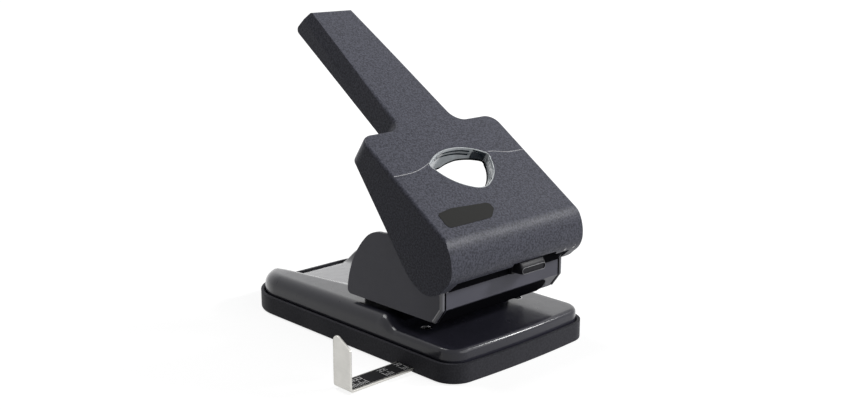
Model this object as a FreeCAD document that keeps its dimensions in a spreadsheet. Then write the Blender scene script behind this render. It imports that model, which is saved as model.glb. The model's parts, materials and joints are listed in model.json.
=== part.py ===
"""Manual heavy-duty two-hole punch, built as separate named pieces.

Frame: millimetres, +X to the right, +Y to the rear, +Z up.  The origin is the centre of the
base's underside.  Stations along Y are written as a distance from the tray's front edge.
"""
import FreeCAD
import Part
import math
import os
from types import SimpleNamespace
from FreeCAD import Placement, Rotation, Vector

SIZES = {
    # chip tray, the pan that the punch stands on
    "tray_width": 121.5, "tray_length": 205.0, "tray_height": 12.0, "tray_wall": 2.0,
    "tray_floor": 1.8, "tray_front_radius": 15.5, "tray_rear_radius": 34.0, "tray_bow": 1.5,
    # pressed steel base cover
    "cover_inset": 3.0, "cover_sheet": 1.4, "cover_skirt": 5.4, "cover_edge": 3.0,
    "table_top": 19.8, "deck_top": 26.4, "deck_rear": 24.2, "step_foot": 51.3, "step_head": 68.4,
    "dish_half": 27.5, "dish_head": 106.0, "dish_toe": 195.5, "dish_floor": 13.0, "dish_lip": 11.0,
    # punching line
    "pin_pitch": 80.0, "pin_station": 43.6, "pin_radius": 2.75, "pin_tip": 27.0,
    "pin_top": 71.25, "running_gap": 0.05, "stop_station": 55.6,
    # folded steel bracket
    "bracket_width": 103.1, "bracket_sheet": 2.3, "bracket_front": 17.9, "bracket_floor": 30.15,
    "panel_low": 39.2, "panel_high": 49.4, "chin_station": 24.6, "bracket_rear": 102.2,
    # handle pivot
    "pivot_station": 23.4, "pivot_height": 67.05, "shaft_radius": 4.5, "boss_radius": 13.5,
    # handle: slope, width, wall and distances from the pivot along and above the slope
    "handle_slope": 34.2, "handle_width": 114.3, "handle_wall": 2.3, "handle_top": 20.5,
    "handle_body": 85.9, "handle_tip": 199.4, "arm_root_half": 24.0, "arm_tip_half": 15.5,
    "arm_foot_half": 18.0, "arm_end_lean": 4.4, "arm_crease": 4.2,
    "handle_corner": 9.0, "handle_edge": 2.0,
    # steel lever under the handle
    "lever_sheet": 2.5, "lever_half": 48.5, "bar_radius": 3.5, "bar_arm": 21.0, "bar_rise": 22.5,
    # sliding paper guide
    "guide_flange": -108.0, "guide_end": 12.0, "guide_front": 33.0, "guide_width": 14.7,
    "guide_sheet": 1.5, "guide_lift": 1.1, "guide_play": 0.3,
}

doc = FreeCAD.newDocument("hole_punch")
sheet = doc.addObject("Spreadsheet::Sheet", "sizes")
for row, (alias, value) in enumerate(SIZES.items(), start=1):
    sheet.set(f"A{row}", alias)
    sheet.set(f"B{row}", str(value))
    sheet.setAlias(f"B{row}", alias)
doc.recompute()
dim = SimpleNamespace(**{alias: float(sheet.get(alias)) for alias in SIZES})

FRONT = -dim.tray_length / 2
SIDES = {"left": -1, "right": 1}
THROUGH = 400.0
nodes = []


# ---------------------------------------------------------------- general helpers

def station(distance):
    """Y of a place given as a distance from the tray's front edge."""
    return FRONT + distance


def keep(thing, label):
    """Name a finished piece and mark it for export."""
    thing.Label = label
    nodes.append(thing)
    return thing


def bind(thing, **cells):
    """Tie properties of an object to expressions of the sheet."""
    for name, formula in cells.items():
        thing.setExpression(name, formula)
    return thing


def corners(points):
    """Closed outline through (across, up, radius) points, the radius rounding that corner."""
    total = len(points)
    ends = []
    for index, (x, y, radius) in enumerate(points):
        here = Vector(x, y, 0)
        before = Vector(*points[index - 1][:2], 0)
        after = Vector(*points[(index + 1) % total][:2], 0)
        back = (before - here).normalize()
        ahead = (after - here).normalize()
        if radius <= 0:
            ends.append((here, here, None))
            continue
        half = back.getAngle(ahead) / 2
        run = radius / math.tan(half)
        bisector = (back + ahead).normalize()
        middle = here + bisector * (radius / math.sin(half) - radius)
        ends.append((here + back * run, here + ahead * run, middle))
    pieces = []
    for index, (start, finish, middle) in enumerate(ends):
        if middle is not None:
            pieces.append(Part.Arc(start, middle, finish))
        following = ends[(index + 1) % total][0]
        if finish.distanceToPoint(following) > 1e-6:
            pieces.append(Part.LineSegment(finish, following))
    return pieces


def chain(*runs):
    """Outline from runs of two points (a line) or three points (an arc)."""
    pieces = []
    for run in runs:
        spots = [Vector(x, y, 0) for x, y in run]
        pieces.append(Part.LineSegment(*spots) if len(spots) == 2 else Part.Arc(*spots))
    return pieces


def mirrored(pieces):
    """The same outline pieces with their first coordinate negated."""
    flip = FreeCAD.Matrix()
    flip.A11 = -1
    copies = []
    for piece in pieces:
        copy = piece.copy()
        copy.transform(flip)
        copies.append(copy)
    return copies


def circle(x, y, radius):
    """One full circle in a sketch."""
    return Part.Circle(Vector(x, y, 0), Vector(0, 0, 1), radius)


def new_body(name):
    """An empty PartDesign body."""
    return doc.addObject("PartDesign::Body", name)


def sketch_on(body, plane, pieces, offset=None):
    """A sketch on one of the body's origin planes, moved by an optional placement."""
    base = next(item for item in body.Origin.OriginFeatures if item.Role == plane)
    sketch = body.newObject("Sketcher::SketchObject", f"{body.Name}_sketch")
    sketch.AttachmentSupport = [(base, "")]
    sketch.MapMode = "FlatFace"
    if offset is not None:
        sketch.AttachmentOffset = offset
    sketch.addGeometry(pieces, False)
    sketch.Visibility = False
    return sketch


def pad(body, sketch, length, both=False, backwards=False):
    """Raise a sketch by a length given as a formula."""
    feature = body.newObject("PartDesign::Pad", f"{body.Name}_pad")
    feature.Profile = sketch
    feature.Midplane = both
    feature.Reversed = backwards
    feature.setExpression("Length", length)
    return feature


def pocket(body, sketch, length, both=False, backwards=False):
    """Cut a sketch to a depth given as a formula and make sure that it cuts."""
    doc.recompute()
    before = body.Shape.Volume
    feature = body.newObject("PartDesign::Pocket", f"{body.Name}_pocket")
    feature.Profile = sketch
    feature.Midplane = both
    feature.Reversed = backwards
    feature.setExpression("Length", length)
    doc.recompute()
    if body.Shape.Volume > before - 1e-3:
        raise RuntimeError(f"{feature.Name} cuts nothing")
    return feature


def turn(body, sketch, axis="V_Axis"):
    """Revolve a half section a full turn about a sketch axis."""
    feature = body.newObject("PartDesign::Revolution", f"{body.Name}_turned")
    feature.Profile = sketch
    feature.ReferenceAxis = (sketch, [axis])
    feature.Angle = 360.0
    return feature


def round_edges(body, test, radius, kind="Fillet"):
    """Fillet or chamfer the edges whose midpoint and bounding box pass a test."""
    doc.recompute()
    tip = body.Tip
    names = [f"Edge{number}" for number, edge in enumerate(tip.Shape.Edges, start=1)
             if test(edge.valueAt((edge.FirstParameter + edge.LastParameter) / 2), edge.BoundBox)]
    if not names:
        raise RuntimeError(f"no edges to round on {body.Name}")
    feature = body.newObject(f"PartDesign::{kind}", f"{body.Name}_{kind.lower()}")
    feature.Base = (tip, names)
    if kind == "Fillet":
        feature.Radius = radius
    else:
        feature.Size = radius
    doc.recompute()
    if "Invalid" in feature.State or feature.Shape.isNull():
        raise RuntimeError(f"{feature.Name} cannot round {names}")
    return feature


def boolean(kind, base, tool, name):
    """Part::Cut, Part::Fuse or Part::Common of two objects."""
    result = doc.addObject(f"Part::{kind}", name)
    result.Base = base
    result.Tool = tool
    doc.recompute()
    return result


def fuse_all(name, *pieces):
    """One solid from several touching ones."""
    result = doc.addObject("Part::MultiFuse", name)
    result.Shapes = list(pieces)
    doc.recompute()
    return result


def group(name, shapes):
    """Identical fasteners kept together as one compound of separate solids."""
    result = doc.addObject("Part::Feature", name)
    result.Shape = Part.Compound(shapes)
    return keep(result, name)


def cross_rod(name, radius, half_length, y, z):
    """A round bar along X, centred on the middle plane."""
    rod = doc.addObject("Part::Cylinder", name)
    bind(rod, Radius=radius, Height=f"2 * ({half_length})")
    doc.recompute()
    rod.Placement = Placement(Vector(-rod.Height.Value / 2, y, z), Rotation(Vector(0, 1, 0), 90))
    return rod


# ---------------------------------------------------------------- derived places

PIVOT = Vector(0, station(dim.pivot_station), dim.pivot_height)
PIN_Y = station(dim.pin_station)
PIN_X = dim.pin_pitch / 2
SLOPE = math.radians(dim.handle_slope)
BRACKET_HALF = dim.bracket_width / 2
BRACKET_INNER = BRACKET_HALF - dim.bracket_sheet
HANDLE_HALF = dim.handle_width / 2
LEVER_INNER = dim.lever_half - dim.lever_sheet
SKIN_UNDER = dim.handle_top - dim.handle_wall
LEVER_TOP = SKIN_UNDER - 0.3
LEVER_UNDER = LEVER_TOP - dim.lever_sheet
BAR_Y = PIVOT.y + dim.bar_arm * math.cos(math.radians(dim.bar_rise))
BAR_Z = PIVOT.z + dim.bar_arm * math.sin(math.radians(dim.bar_rise))

# Handle pieces are drawn in a leaning frame: first coordinate along the slope, second square to it.
SIDE_VIEW = Placement(Vector(PIVOT.y, PIVOT.z, 0), Rotation(Vector(0, 0, 1), dim.handle_slope))
PLAN_VIEW = Placement(PIVOT, Rotation(Vector(1, 0, 0), dim.handle_slope))


# ---------------------------------------------------------------- chip tray

def base_outline(inset):
    """Plan outline of the base, straight sides, round corners and a slightly bowed front."""
    half = dim.tray_width / 2 - inset
    low = FRONT + inset
    high = FRONT + dim.tray_length - inset
    front = dim.tray_front_radius - inset
    rear = dim.tray_rear_radius - inset
    lean = math.sqrt(0.5)
    return chain(
        [(-half + front, low), (0, low - dim.tray_bow), (half - front, low)],
        [(half - front, low), (half - front + front * lean, low + front - front * lean),
         (half, low + front)],
        [(half, low + front), (half, high - rear)],
        [(half, high - rear), (half - rear + rear * lean, high - rear + rear * lean),
         (half - rear, high)],
        [(half - rear, high), (-half + rear, high)],
        [(-half + rear, high), (-half + rear - rear * lean, high - rear + rear * lean),
         (-half, high - rear)],
        [(-half, high - rear), (-half, low + front)],
        [(-half, low + front), (-half + front - front * lean, low + front - front * lean),
         (-half + front, low)],
    )


def rectangle(x0, y0, x1, y1):
    """Plain rectangle for a sketch."""
    return corners([(x0, y0, 0), (x1, y0, 0), (x1, y1, 0), (x0, y1, 0)])


def build_chip_tray():
    """Shallow pan with ribs for the cover to sit on and a tunnel for the paper guide."""
    tray = new_body("chip_tray")
    pad(tray, sketch_on(tray, "XY_Plane", base_outline(0)), "sizes.tray_height")
    cavity = sketch_on(tray, "XY_Plane", base_outline(dim.tray_wall),
                       Placement(Vector(0, 0, dim.tray_height), Rotation()))
    pocket(tray, cavity, "sizes.tray_height - sizes.tray_floor")
    round_edges(tray, lambda mid, box: box.ZMax < 0.01, 1.0)
    inner = dim.tray_width / 2 - dim.tray_wall
    rear = dim.guide_width + 3
    roof_low = station(dim.guide_front - 3)
    roof = sketch_on(tray, "XY_Plane",
                     rectangle(-inner - 0.5, roof_low, inner + 0.5, roof_low + rear + 3))
    pad(tray, roof, "sizes.guide_lift + sizes.guide_sheet + 2.2")
    for side in (-1, 1):
        for place in (75, 150):
            low = station(place)
            rib = rectangle(side * (inner + 0.5), low, side * (inner - 3.5), low + 4)
            pad(tray, sketch_on(tray, "XY_Plane", rib), "sizes.cover_skirt - 0.1")
    for x in (-35, 35):
        rib = rectangle(x - 2, FRONT + 0.6, x + 2, FRONT + dim.tray_wall + 3.5)
        pad(tray, sketch_on(tray, "XY_Plane", rib), "sizes.cover_skirt - 0.1")
    tunnel_low = dim.guide_lift - dim.guide_play
    tunnel_high = dim.guide_lift + dim.guide_sheet + dim.guide_play + 0.3
    front = station(dim.guide_front) - dim.guide_play
    tunnel = sketch_on(tray, "YZ_Plane",
                       rectangle(front, tunnel_low,
                                 front + dim.guide_width + 2 * dim.guide_play, tunnel_high),
                       Placement(Vector(0, 0, -inner - 5), Rotation()))
    pocket(tray, tunnel, "sizes.tray_width - 1", backwards=True)
    pads = sketch_on(tray, "XY_Plane", [circle(x, y, 5.0) for x, y in foot_spots()])
    pocket(tray, pads, "0.8", backwards=True)
    keep(tray, "chip_tray")


def foot_spots():
    """Places of the four rubber pads under the tray."""
    return [(x, station(y)) for x in (-46, 46) for y in (17, 168)]


def build_foot_pads():
    """Thin rubber discs let into the underside of the tray."""
    group("foot_pads", [Part.makeCylinder(5.0, 0.8, Vector(x, y, 0)) for x, y in foot_spots()])


# ---------------------------------------------------------------- base cover

def s_rise(y0, z0, y1, z1):
    """Two equal arcs that rise smoothly from one level to another."""
    radius = ((y1 - y0) ** 2 + (z1 - z0) ** 2) / (4 * (z1 - z0))
    sweep = math.asin((y1 - y0) / 2 / radius) / 2
    run = radius * math.sin(sweep)
    rise = radius * (1 - math.cos(sweep))
    centre = ((y0 + y1) / 2, (z0 + z1) / 2)
    return [[(y0, z0), (y0 + run, z0 + rise), centre], [centre, (y1 - run, z1 - rise), (y1, z1)]]


def cover_solid(name, drop):
    """The cover's outer form, or with a drop, the space inside its sheet."""
    body = new_body(name)
    inset = dim.cover_inset + drop
    low = 0 if drop else dim.cover_skirt
    outline = sketch_on(body, "XY_Plane", base_outline(inset),
                        Placement(Vector(0, 0, low), Rotation()))
    pad(body, outline, f"sizes.deck_top + 2 - {low}")
    foot, head = station(dim.step_foot + drop / 2), station(dim.step_head + drop / 2)
    table, deck = dim.table_top - drop, dim.deck_top - drop
    rear_end = FRONT + dim.tray_length + 10
    rear_level = dim.deck_rear - drop
    sky = 60
    over = chain([(FRONT - 20, table), (foot, table)], *s_rise(foot, table, head, deck),
                 [(head, deck), (rear_end, rear_level)], [(rear_end, rear_level), (rear_end, sky)],
                 [(rear_end, sky), (FRONT - 20, sky)], [(FRONT - 20, sky), (FRONT - 20, table)])
    pocket(body, sketch_on(body, "YZ_Plane", over), str(THROUGH), both=True)
    round_edges(body, lambda mid, box: box.ZMin > dim.table_top - 0.5 - drop,
                max(dim.cover_edge - drop, 1.0))
    cut_dish(body, drop)
    return body


def cut_dish(body, drop):
    """Cut the dish that falls from the deck to the rear lip between two slanted sides."""
    rear = dim.tray_length - dim.cover_inset
    fall = (dim.dish_floor - dim.dish_lip) / (rear - dim.dish_toe)
    floors = [(dim.dish_head, dim.deck_top + 0.5), (dim.dish_toe, dim.dish_floor),
              (rear + 3, dim.dish_lip - 3 * fall)]
    half = dim.dish_half + drop * math.tan(math.radians(22.5))
    sections = []
    for place, level in floors:
        low, sky = level - drop, 60
        outline = corners([(-half, low, 0), (half, low, 0), (half + sky - low, sky, 0),
                           (-half - sky + low, sky, 0)])
        sections.append(sketch_on(body, "XZ_Plane", outline,
                                  Placement(Vector(0, 0, -station(place)), Rotation())))
    doc.recompute()
    dish = body.newObject("PartDesign::SubtractiveLoft", f"{body.Name}_dish")
    dish.Profile = sections[0]
    dish.Sections = sections[1:]
    dish.Ruled = True
    doc.recompute()


def build_base_cover():
    """Pressed cover: front table, step, deck with two ridges and the dish between them."""
    shell = boolean("Cut", cover_solid("cover_form", 0), cover_solid("cover_space", dim.cover_sheet),
                    "cover_shell")
    holes = doc.addObject("Part::Feature", "cover_holes")
    cuts = [Part.makeCylinder(3.55, 20, Vector(side * PIN_X, PIN_Y, 10)) for side in (-1, 1)]
    cuts += [Part.makeCylinder(2.0, 30, Vector(x, y, 10)) for x, y in rivet_spots()]
    holes.Shape = Part.Compound(cuts)
    keep(boolean("Cut", shell, holes, "base_cover_cut"), "base_cover")


def rivet_spots():
    """The four rivets that hold the bracket down on the deck."""
    return [(x, station(y)) for x in (-28, 28) for y in (78, 92)]


# ---------------------------------------------------------------- dies and spacer

def build_dies():
    """Steel plate under the table, with a hardened bush below each pin."""
    under = dim.table_top - dim.cover_sheet
    plate = new_body("die_plate")
    pad(plate, sketch_on(plate, "XY_Plane",
                         corners([(-50, station(32), 4), (50, station(32), 4),
                                  (50, station(54), 4), (-50, station(54), 4)]),
                         Placement(Vector(0, 0, under - 3.2), Rotation())), "3.1")
    pocket(plate, sketch_on(plate, "XY_Plane", [circle(side * PIN_X, PIN_Y, 5.0) for side in (-1, 1)],
                            Placement(Vector(0, 0, under - 0.1), Rotation())), "10")
    keep(plate, "die_plate")
    bore = dim.pin_radius + dim.running_gap
    for word, side in SIDES.items():
        bush = new_body(f"die_bush_{word}")
        section = corners([(bore, under - 4.5, 0), (5.0, under - 4.5, 0), (5.0, under - 0.1, 0),
                           (3.5, under - 0.1, 0), (3.5, dim.table_top - 0.05, 0),
                           (bore + 0.3, dim.table_top - 0.05, 0), (bore, dim.table_top - 0.5, 0)])
        turn(bush, sketch_on(bush, "XZ_Plane", section))
        bush.Placement = Placement(Vector(side * PIN_X, PIN_Y, 0), Rotation())
        keep(bush, f"die_bush_{word}")


def build_bracket_seat():
    """Spacer between deck and bracket, backing plate inside the cover and the rivets."""
    seat = new_body("bracket_spacer")
    shape = corners([(-44, station(71), 5), (44, station(71), 5), (44, station(98), 5),
                     (-44, station(98), 5)])
    pad(seat, sketch_on(seat, "XY_Plane", shape, Placement(Vector(0, 0, dim.deck_top), Rotation())),
        "sizes.bracket_floor - sizes.deck_top")
    pocket(seat, sketch_on(seat, "XY_Plane", [circle(x, y, 2.0) for x, y in rivet_spots()],
                           Placement(Vector(0, 0, dim.bracket_floor), Rotation())), "10")
    keep(seat, "bracket_spacer")
    backing = new_body("backing_plate")
    pad(backing, sketch_on(backing, "XY_Plane", shape,
                           Placement(Vector(0, 0, dim.deck_top - dim.cover_sheet - 2.7), Rotation())),
        "2.0")
    pocket(backing, sketch_on(backing, "XY_Plane", [circle(x, y, 2.0) for x, y in rivet_spots()],
                              Placement(Vector(0, 0, dim.deck_top), Rotation())), "10")
    keep(backing, "backing_plate")
    low = dim.deck_top - dim.cover_sheet - 2.7
    high = dim.bracket_floor + dim.bracket_sheet
    rivets = []
    for x, y in rivet_spots():
        shank = Part.makeCylinder(2.0, high - low, Vector(x, y, low))
        head = Part.makeCylinder(3.6, 1.3, Vector(x, y, high))
        tail = Part.makeCylinder(3.4, 1.2, Vector(x, y, low - 1.2))
        rivets.append(shank.fuse([head, tail]).removeSplitter())
    group("bracket_rivets", rivets)


# ---------------------------------------------------------------- bracket

def bracket_profile():
    """Side view of the bracket's cheeks, clockwise from the chin."""
    front, floor = station(dim.bracket_front), dim.bracket_floor
    rear = station(dim.bracket_rear)
    boss = dim.boss_radius

    def on_boss(angle):
        return (PIVOT.y + boss * math.cos(math.radians(angle)),
                PIVOT.z + boss * math.sin(math.radians(angle)))

    return chain(
        [(station(dim.chin_station), floor), (rear - 3, floor)],
        [(rear - 3, floor), (rear - 0.8, floor + 1), (rear, floor + 3.2)],
        [(rear, floor + 3.2), (station(96.9), 52.3), (station(84.5), 69.3)],
        [(station(84.5), 69.3), (station(77.8), 73.6), (station(70), 75.0)],
        [(station(70), 75.0), on_boss(79)],
        [on_boss(79), on_boss(140), on_boss(208.5)],
        [on_boss(208.5), (front, dim.panel_high)],
        [(front, dim.panel_high), (front, dim.panel_low)],
        [(front, dim.panel_low), (station(dim.chin_station), floor)],
    )


def build_bracket():
    """One folded sheet: two cheeks, front panel, sloping chin and floor."""
    bracket = new_body("bracket")
    pad(bracket, sketch_on(bracket, "YZ_Plane", bracket_profile()), "sizes.bracket_width", both=True)
    def bend(mid, box):
        return abs(abs(mid.x) - BRACKET_HALF) < 0.01 and mid.y < station(dim.chin_station) \
            and mid.z < dim.panel_high - 1

    round_edges(bracket, bend, 2.5)
    gauge = dim.bracket_sheet
    inside = corners([(station(dim.chin_station + 1.3), dim.bracket_floor + gauge, 0),
                      (station(140), dim.bracket_floor + gauge, 0), (station(140), 120, 0),
                      (station(-20), 120, 0), (station(-20), dim.panel_high, 0),
                      (station(dim.bracket_front) + gauge, dim.panel_high, 0),
                      (station(dim.bracket_front) + gauge, dim.panel_low + 0.9, 0)])
    pocket(bracket, sketch_on(bracket, "YZ_Plane", inside),
           "sizes.bracket_width - 2 * sizes.bracket_sheet", both=True)
    pocket(bracket, sketch_on(bracket, "YZ_Plane", [circle(PIVOT.y, PIVOT.z, dim.shaft_radius)]),
           str(THROUGH), both=True)
    floor_holes = [circle(side * PIN_X, PIN_Y, 4.6) for side in (-1, 1)]
    floor_holes += [circle(x, y, 2.0) for x, y in rivet_spots()]
    pocket(bracket, sketch_on(bracket, "XY_Plane", floor_holes,
                              Placement(Vector(0, 0, dim.bracket_floor + gauge + 1), Rotation())),
           "sizes.bracket_sheet + 2")
    keep(bracket, "bracket")


def build_paper_stop():
    """Bar under the bracket that the paper's edge meets."""
    stop = new_body("paper_stop")
    low = station(dim.stop_station)
    pad(stop, sketch_on(stop, "XY_Plane", corners([(-46, low, 0.6), (46, low, 0.6),
                                                   (46, low + 2.4, 0.6), (-46, low + 2.4, 0.6)]),
                        Placement(Vector(0, 0, 22.6), Rotation())),
        "sizes.bracket_floor - 22.6")
    keep(stop, "paper_stop")


# ---------------------------------------------------------------- pivot hardware

def build_pivot():
    """Shaft across the bracket, its retaining rings and the thrust washers."""
    shaft = cross_rod("pivot_shaft", "sizes.shaft_radius", "sizes.bracket_width / 2 + 2.4",
                      PIVOT.y, PIVOT.z)
    keep(shaft, "pivot_shaft")
    for word, side in SIDES.items():
        ring = new_body(f"retaining_ring_{word}")
        outer = BRACKET_HALF + 0.2
        face = Placement(Vector(0, 0, side * outer), Rotation())
        pad(ring, sketch_on(ring, "YZ_Plane", [circle(PIVOT.y, PIVOT.z, 7.5),
                                               circle(PIVOT.y, PIVOT.z, dim.shaft_radius)], face),
            "1.1", backwards=side < 0)
        keep(ring, f"retaining_ring_{word}")
        washer = new_body(f"thrust_washer_{word}")
        face = Placement(Vector(0, 0, side * (dim.lever_half + 0.1)), Rotation())
        pad(washer, sketch_on(washer, "YZ_Plane", [circle(PIVOT.y, PIVOT.z, 8.0),
                                                   circle(PIVOT.y, PIVOT.z, dim.shaft_radius + 0.05)],
                              face), "0.6", backwards=side < 0)
        keep(washer, f"thrust_washer_{word}")


# ---------------------------------------------------------------- punch pins

def build_pins():
    """Guide bush, punch pin and return spring on each side."""
    bore = dim.pin_radius + dim.running_gap
    floor = dim.bracket_floor
    top = floor + dim.bracket_sheet
    for word, side in SIDES.items():
        place = Placement(Vector(side * PIN_X, PIN_Y, 0), Rotation())
        guide = new_body(f"pin_guide_{word}")
        section = corners([(bore, 26.3, 0), (4.0, 26.3, 0), (4.6, 26.9, 0), (4.6, top, 0),
                           (5.6, top, 0), (5.6, top + 2.4, 0), (3.5, top + 2.4, 0),
                           (3.5, top + 8.0, 0), (bore, top + 8.0, 0)])
        turn(guide, sketch_on(guide, "XZ_Plane", section))
        guide.Placement = place
        keep(guide, f"pin_guide_{word}")
        pin = new_body(f"punch_pin_{word}")
        radius, tip, crown = dim.pin_radius, dim.pin_tip, dim.pin_top
        section = chain([(0, tip + 1.0), (radius, tip)], [(radius, tip), (radius, crown - 3.0)],
                        [(radius, crown - 3.0), (5.3, crown - 3.0)],
                        [(5.3, crown - 3.0), (5.3, crown - 1.0)],
                        [(5.3, crown - 1.0), (4.7, crown - 0.3), (3.6, crown)],
                        [(3.6, crown), (0, crown)], [(0, crown), (0, tip + 1.0)])
        turn(pin, sketch_on(pin, "XZ_Plane", section))
        pin.Placement = place
        keep(pin, f"punch_pin_{word}")
        build_spring(word, side, top + 2.4, crown - 3.0)


def build_spring(word, side, low, high):
    """Compression spring between the guide's flange and the pin's head."""
    wire, turns, play = 0.5, 8, 0.1
    coil = doc.addObject("Part::Helix", f"spring_path_{word}")
    coil.Radius = 4.25
    coil.Height = high - low - 2 * (wire + play)
    coil.Pitch = coil.Height.Value / turns
    coil.SegmentLength = 0.5
    section = doc.addObject("Part::Circle", f"spring_wire_{word}")
    section.Radius = wire
    section.Placement = Placement(Vector(coil.Radius.Value, 0, 0), Rotation(Vector(1, 0, 0), 90))
    doc.recompute()
    spring = doc.addObject("Part::Sweep", f"return_spring_{word}")
    spring.Sections = [section]
    spring.Spine = (coil, [f"Edge{i + 1}" for i in range(len(coil.Shape.Edges))])
    spring.Solid = True
    spring.Frenet = True
    spring.Placement = Placement(Vector(side * PIN_X, PIN_Y, low + wire + play), Rotation())
    keep(spring, f"return_spring_{word}")


# ---------------------------------------------------------------- handle

def side_sketch(body, pieces):
    """Sketch in the leaning side view, for pieces that run across the handle."""
    return sketch_on(body, "YZ_Plane", pieces, SIDE_VIEW)


def plan_sketch(body, pieces, level=0.0):
    """Sketch parallel to the handle's top face at a level above the pivot."""
    lift = Placement(Vector(0, 0, level), Rotation())
    return sketch_on(body, "XY_Plane", pieces, PLAN_VIEW * lift)


def handle_profile(wall):
    """Leaning side view of the handle's outside, or of the space inside its wall."""
    top = dim.handle_top - wall
    tip = dim.handle_tip - wall
    toe = tip + dim.arm_end_lean
    nose = [(0, top), (-9.2 + 0.6 * wall, 16.2 - 0.9 * wall), (-15.3 + wall, 9.6 - 0.5 * wall)]
    chin = [nose[-1], (-17.6 + wall, 3.2), (-17.4 + wall, -1.2)]
    if wall:
        under = [[chin[-1], (-15.0, -60)], [(-15.0, -60), (toe, -60)], [(toe, -60), (toe, 4)],
                 [(toe, 4), (tip, top)]]
    else:
        under = [[chin[-1], (-16.3, -5.6)], [(-16.3, -5.6), (-10.6, -15.6), (0, -19.2)],
                 [(0, -19.2), (6.4, -19.2), (12.6, -17.8)], [(12.6, -17.8), (78.0, 4.0)],
                 [(78.0, 4.0), (toe - 3.4, 1.9)], [(toe - 3.4, 1.9), (toe - 0.6, 3.0), (toe, 5.4)],
                 [(toe, 5.4), (tip, top)]]
    return chain(nose, chin, *under, [(tip, top), (0, top)])


def handle_plan(inset):
    """Top view of the handle: wide body, shoulders and tapering arm."""
    half = HANDLE_HALF - inset
    body, tip = dim.handle_body - inset, dim.handle_tip + dim.arm_end_lean + 5
    root, end = dim.arm_root_half - inset, dim.arm_foot_half - inset
    corner = dim.handle_corner - inset
    points = [(half, -60, 0), (half, body, corner), (root, body, 9.0 + inset), (end, tip, 0)]
    left = [(-x, y, radius) for x, y, radius in reversed(points)]
    return corners(points + left)


def window_outline(grow):
    """Rounded three-sided window in the handle, grown outwards by a distance."""
    top, low = 63.8 + grow, 28.8 - grow
    knee = (23.2 + grow, 56.2 + grow * 0.6)
    hip = (24.2 + grow, 49.6 - grow * 0.2)
    foot = (8.6 + grow * 0.6, 31.4 - grow * 0.8)
    half = chain([(0, top), (12.5 + grow * 0.3, 61.9 + grow), knee],
                 [knee, (25.4 + grow, 53.2), hip],
                 [hip, (18.8 + grow * 0.8, 39.6 - grow * 0.6), foot],
                 [foot, (4.6 + grow * 0.2, 29.5 - grow), (0, low)])
    return half + mirrored(half)


def handle_solid(name, wall):
    """Handle form, side view times top view; with a wall, the space inside it."""
    body = new_body(name)
    pad(body, side_sketch(body, handle_profile(wall)), f"sizes.handle_width - 2 * {wall}", both=True)
    frame = corners([(-120, -100, 0), (120, -100, 0), (120, 260, 0), (-120, 260, 0)])
    pocket(body, plan_sketch(body, frame + handle_plan(wall)), str(THROUGH), both=True)
    return body


def arm_facets(name, wall):
    """Two twisted wedges that lean the arm's sides inwards, more and more towards its tip."""
    start, finish = dim.handle_body + 10.1, dim.handle_tip + dim.arm_end_lean + 5
    share = (start - dim.handle_body) / (finish - dim.handle_body)
    side_half = dim.arm_root_half + (dim.arm_foot_half - dim.arm_root_half) * share
    outer, sky = 40, dim.handle_top + 2
    stations = [(start, side_half, side_half, dim.arm_crease),
                (finish, dim.arm_tip_half - 0.3, dim.arm_foot_half, dim.arm_crease + 9.6)]
    wedges = []
    for side in (-1, 1):
        rings = []
        for along, top_half, low_half, low in stations:
            ring = [(top_half - wall, sky), (low_half - wall, low - wall), (outer, low - wall),
                    (outer, sky), (top_half - wall, sky)]
            rings.append(Part.makePolygon([Vector(side * x, along, up) for x, up in ring]))
        wedges.append(Part.makeLoft(rings, True, True))
    facets = doc.addObject("Part::Feature", name)
    facets.Shape = leaning(Part.Compound(wedges))
    return facets


def build_handle_shell():
    """Moulded shell, open below, with a window, a notch for the lock and blind screw holes."""
    form = handle_solid("handle_form", 0)
    top = dim.handle_top

    def height(point):
        return -(point.y - PIVOT.y) * math.sin(SLOPE) + (point.z - PIVOT.z) * math.cos(SLOPE)

    round_edges(form, lambda mid, box: abs(height(mid) - top) < 0.05 and
                abs(height(Vector(0, box.YMin, box.ZMin)) - top) < 30 and box.XLength < 110,
                dim.handle_edge)
    outside = boolean("Cut", form, arm_facets("arm_facets_outer", 0), "handle_outside")
    space = boolean("Cut", handle_solid("handle_space", dim.handle_wall),
                    arm_facets("arm_facets_inner", dim.handle_wall), "handle_inside")
    hollow = boolean("Cut", outside, space, "handle_hollow")
    window = new_body("handle_window")
    pad(window, plan_sketch(window, window_outline(0), SKIN_UNDER - 1), "10")
    notch = new_body("handle_notch")
    pad(notch, sketch_on(notch, "YZ_Plane",
                         rectangle(station(-2), 40, station(14), 59.4),
                         Placement(Vector(0, 0, -3.6), Rotation())), "41")
    mouth = new_body("handle_mouth")
    pad(mouth, sketch_on(mouth, "YZ_Plane", rectangle(station(-5), 30, station(21), 57.2)),
        "2 * 49", both=True)
    opened = boolean("Cut", hollow, fuse_all("handle_openings", window, notch, mouth), "handle_open")
    screws = doc.addObject("Part::Feature", "handle_screw_holes")
    screws.Shape = Part.Compound([screw_shank(x, along) for x, along in screw_spots()])
    keep(boolean("Cut", opened, screws, "handle_shell_cut"), "handle_shell")


def screw_spots():
    """Screws that hold the shell on the lever, across and along the slope."""
    return [(-38, 14), (38, 14), (-38, 70), (38, 70), (0, 110), (0, 176)]


def leaning(shape):
    """Move a shape drawn in the leaning frame to its place."""
    shape.Placement = PLAN_VIEW
    return shape


def screw_shank(x, along):
    """Threaded part of a handle screw, up into the shell's wall."""
    return leaning(Part.makeCylinder(1.5, LEVER_TOP - LEVER_UNDER + 0.3 + 1.5,
                                     Vector(x, along, LEVER_UNDER)))


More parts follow.
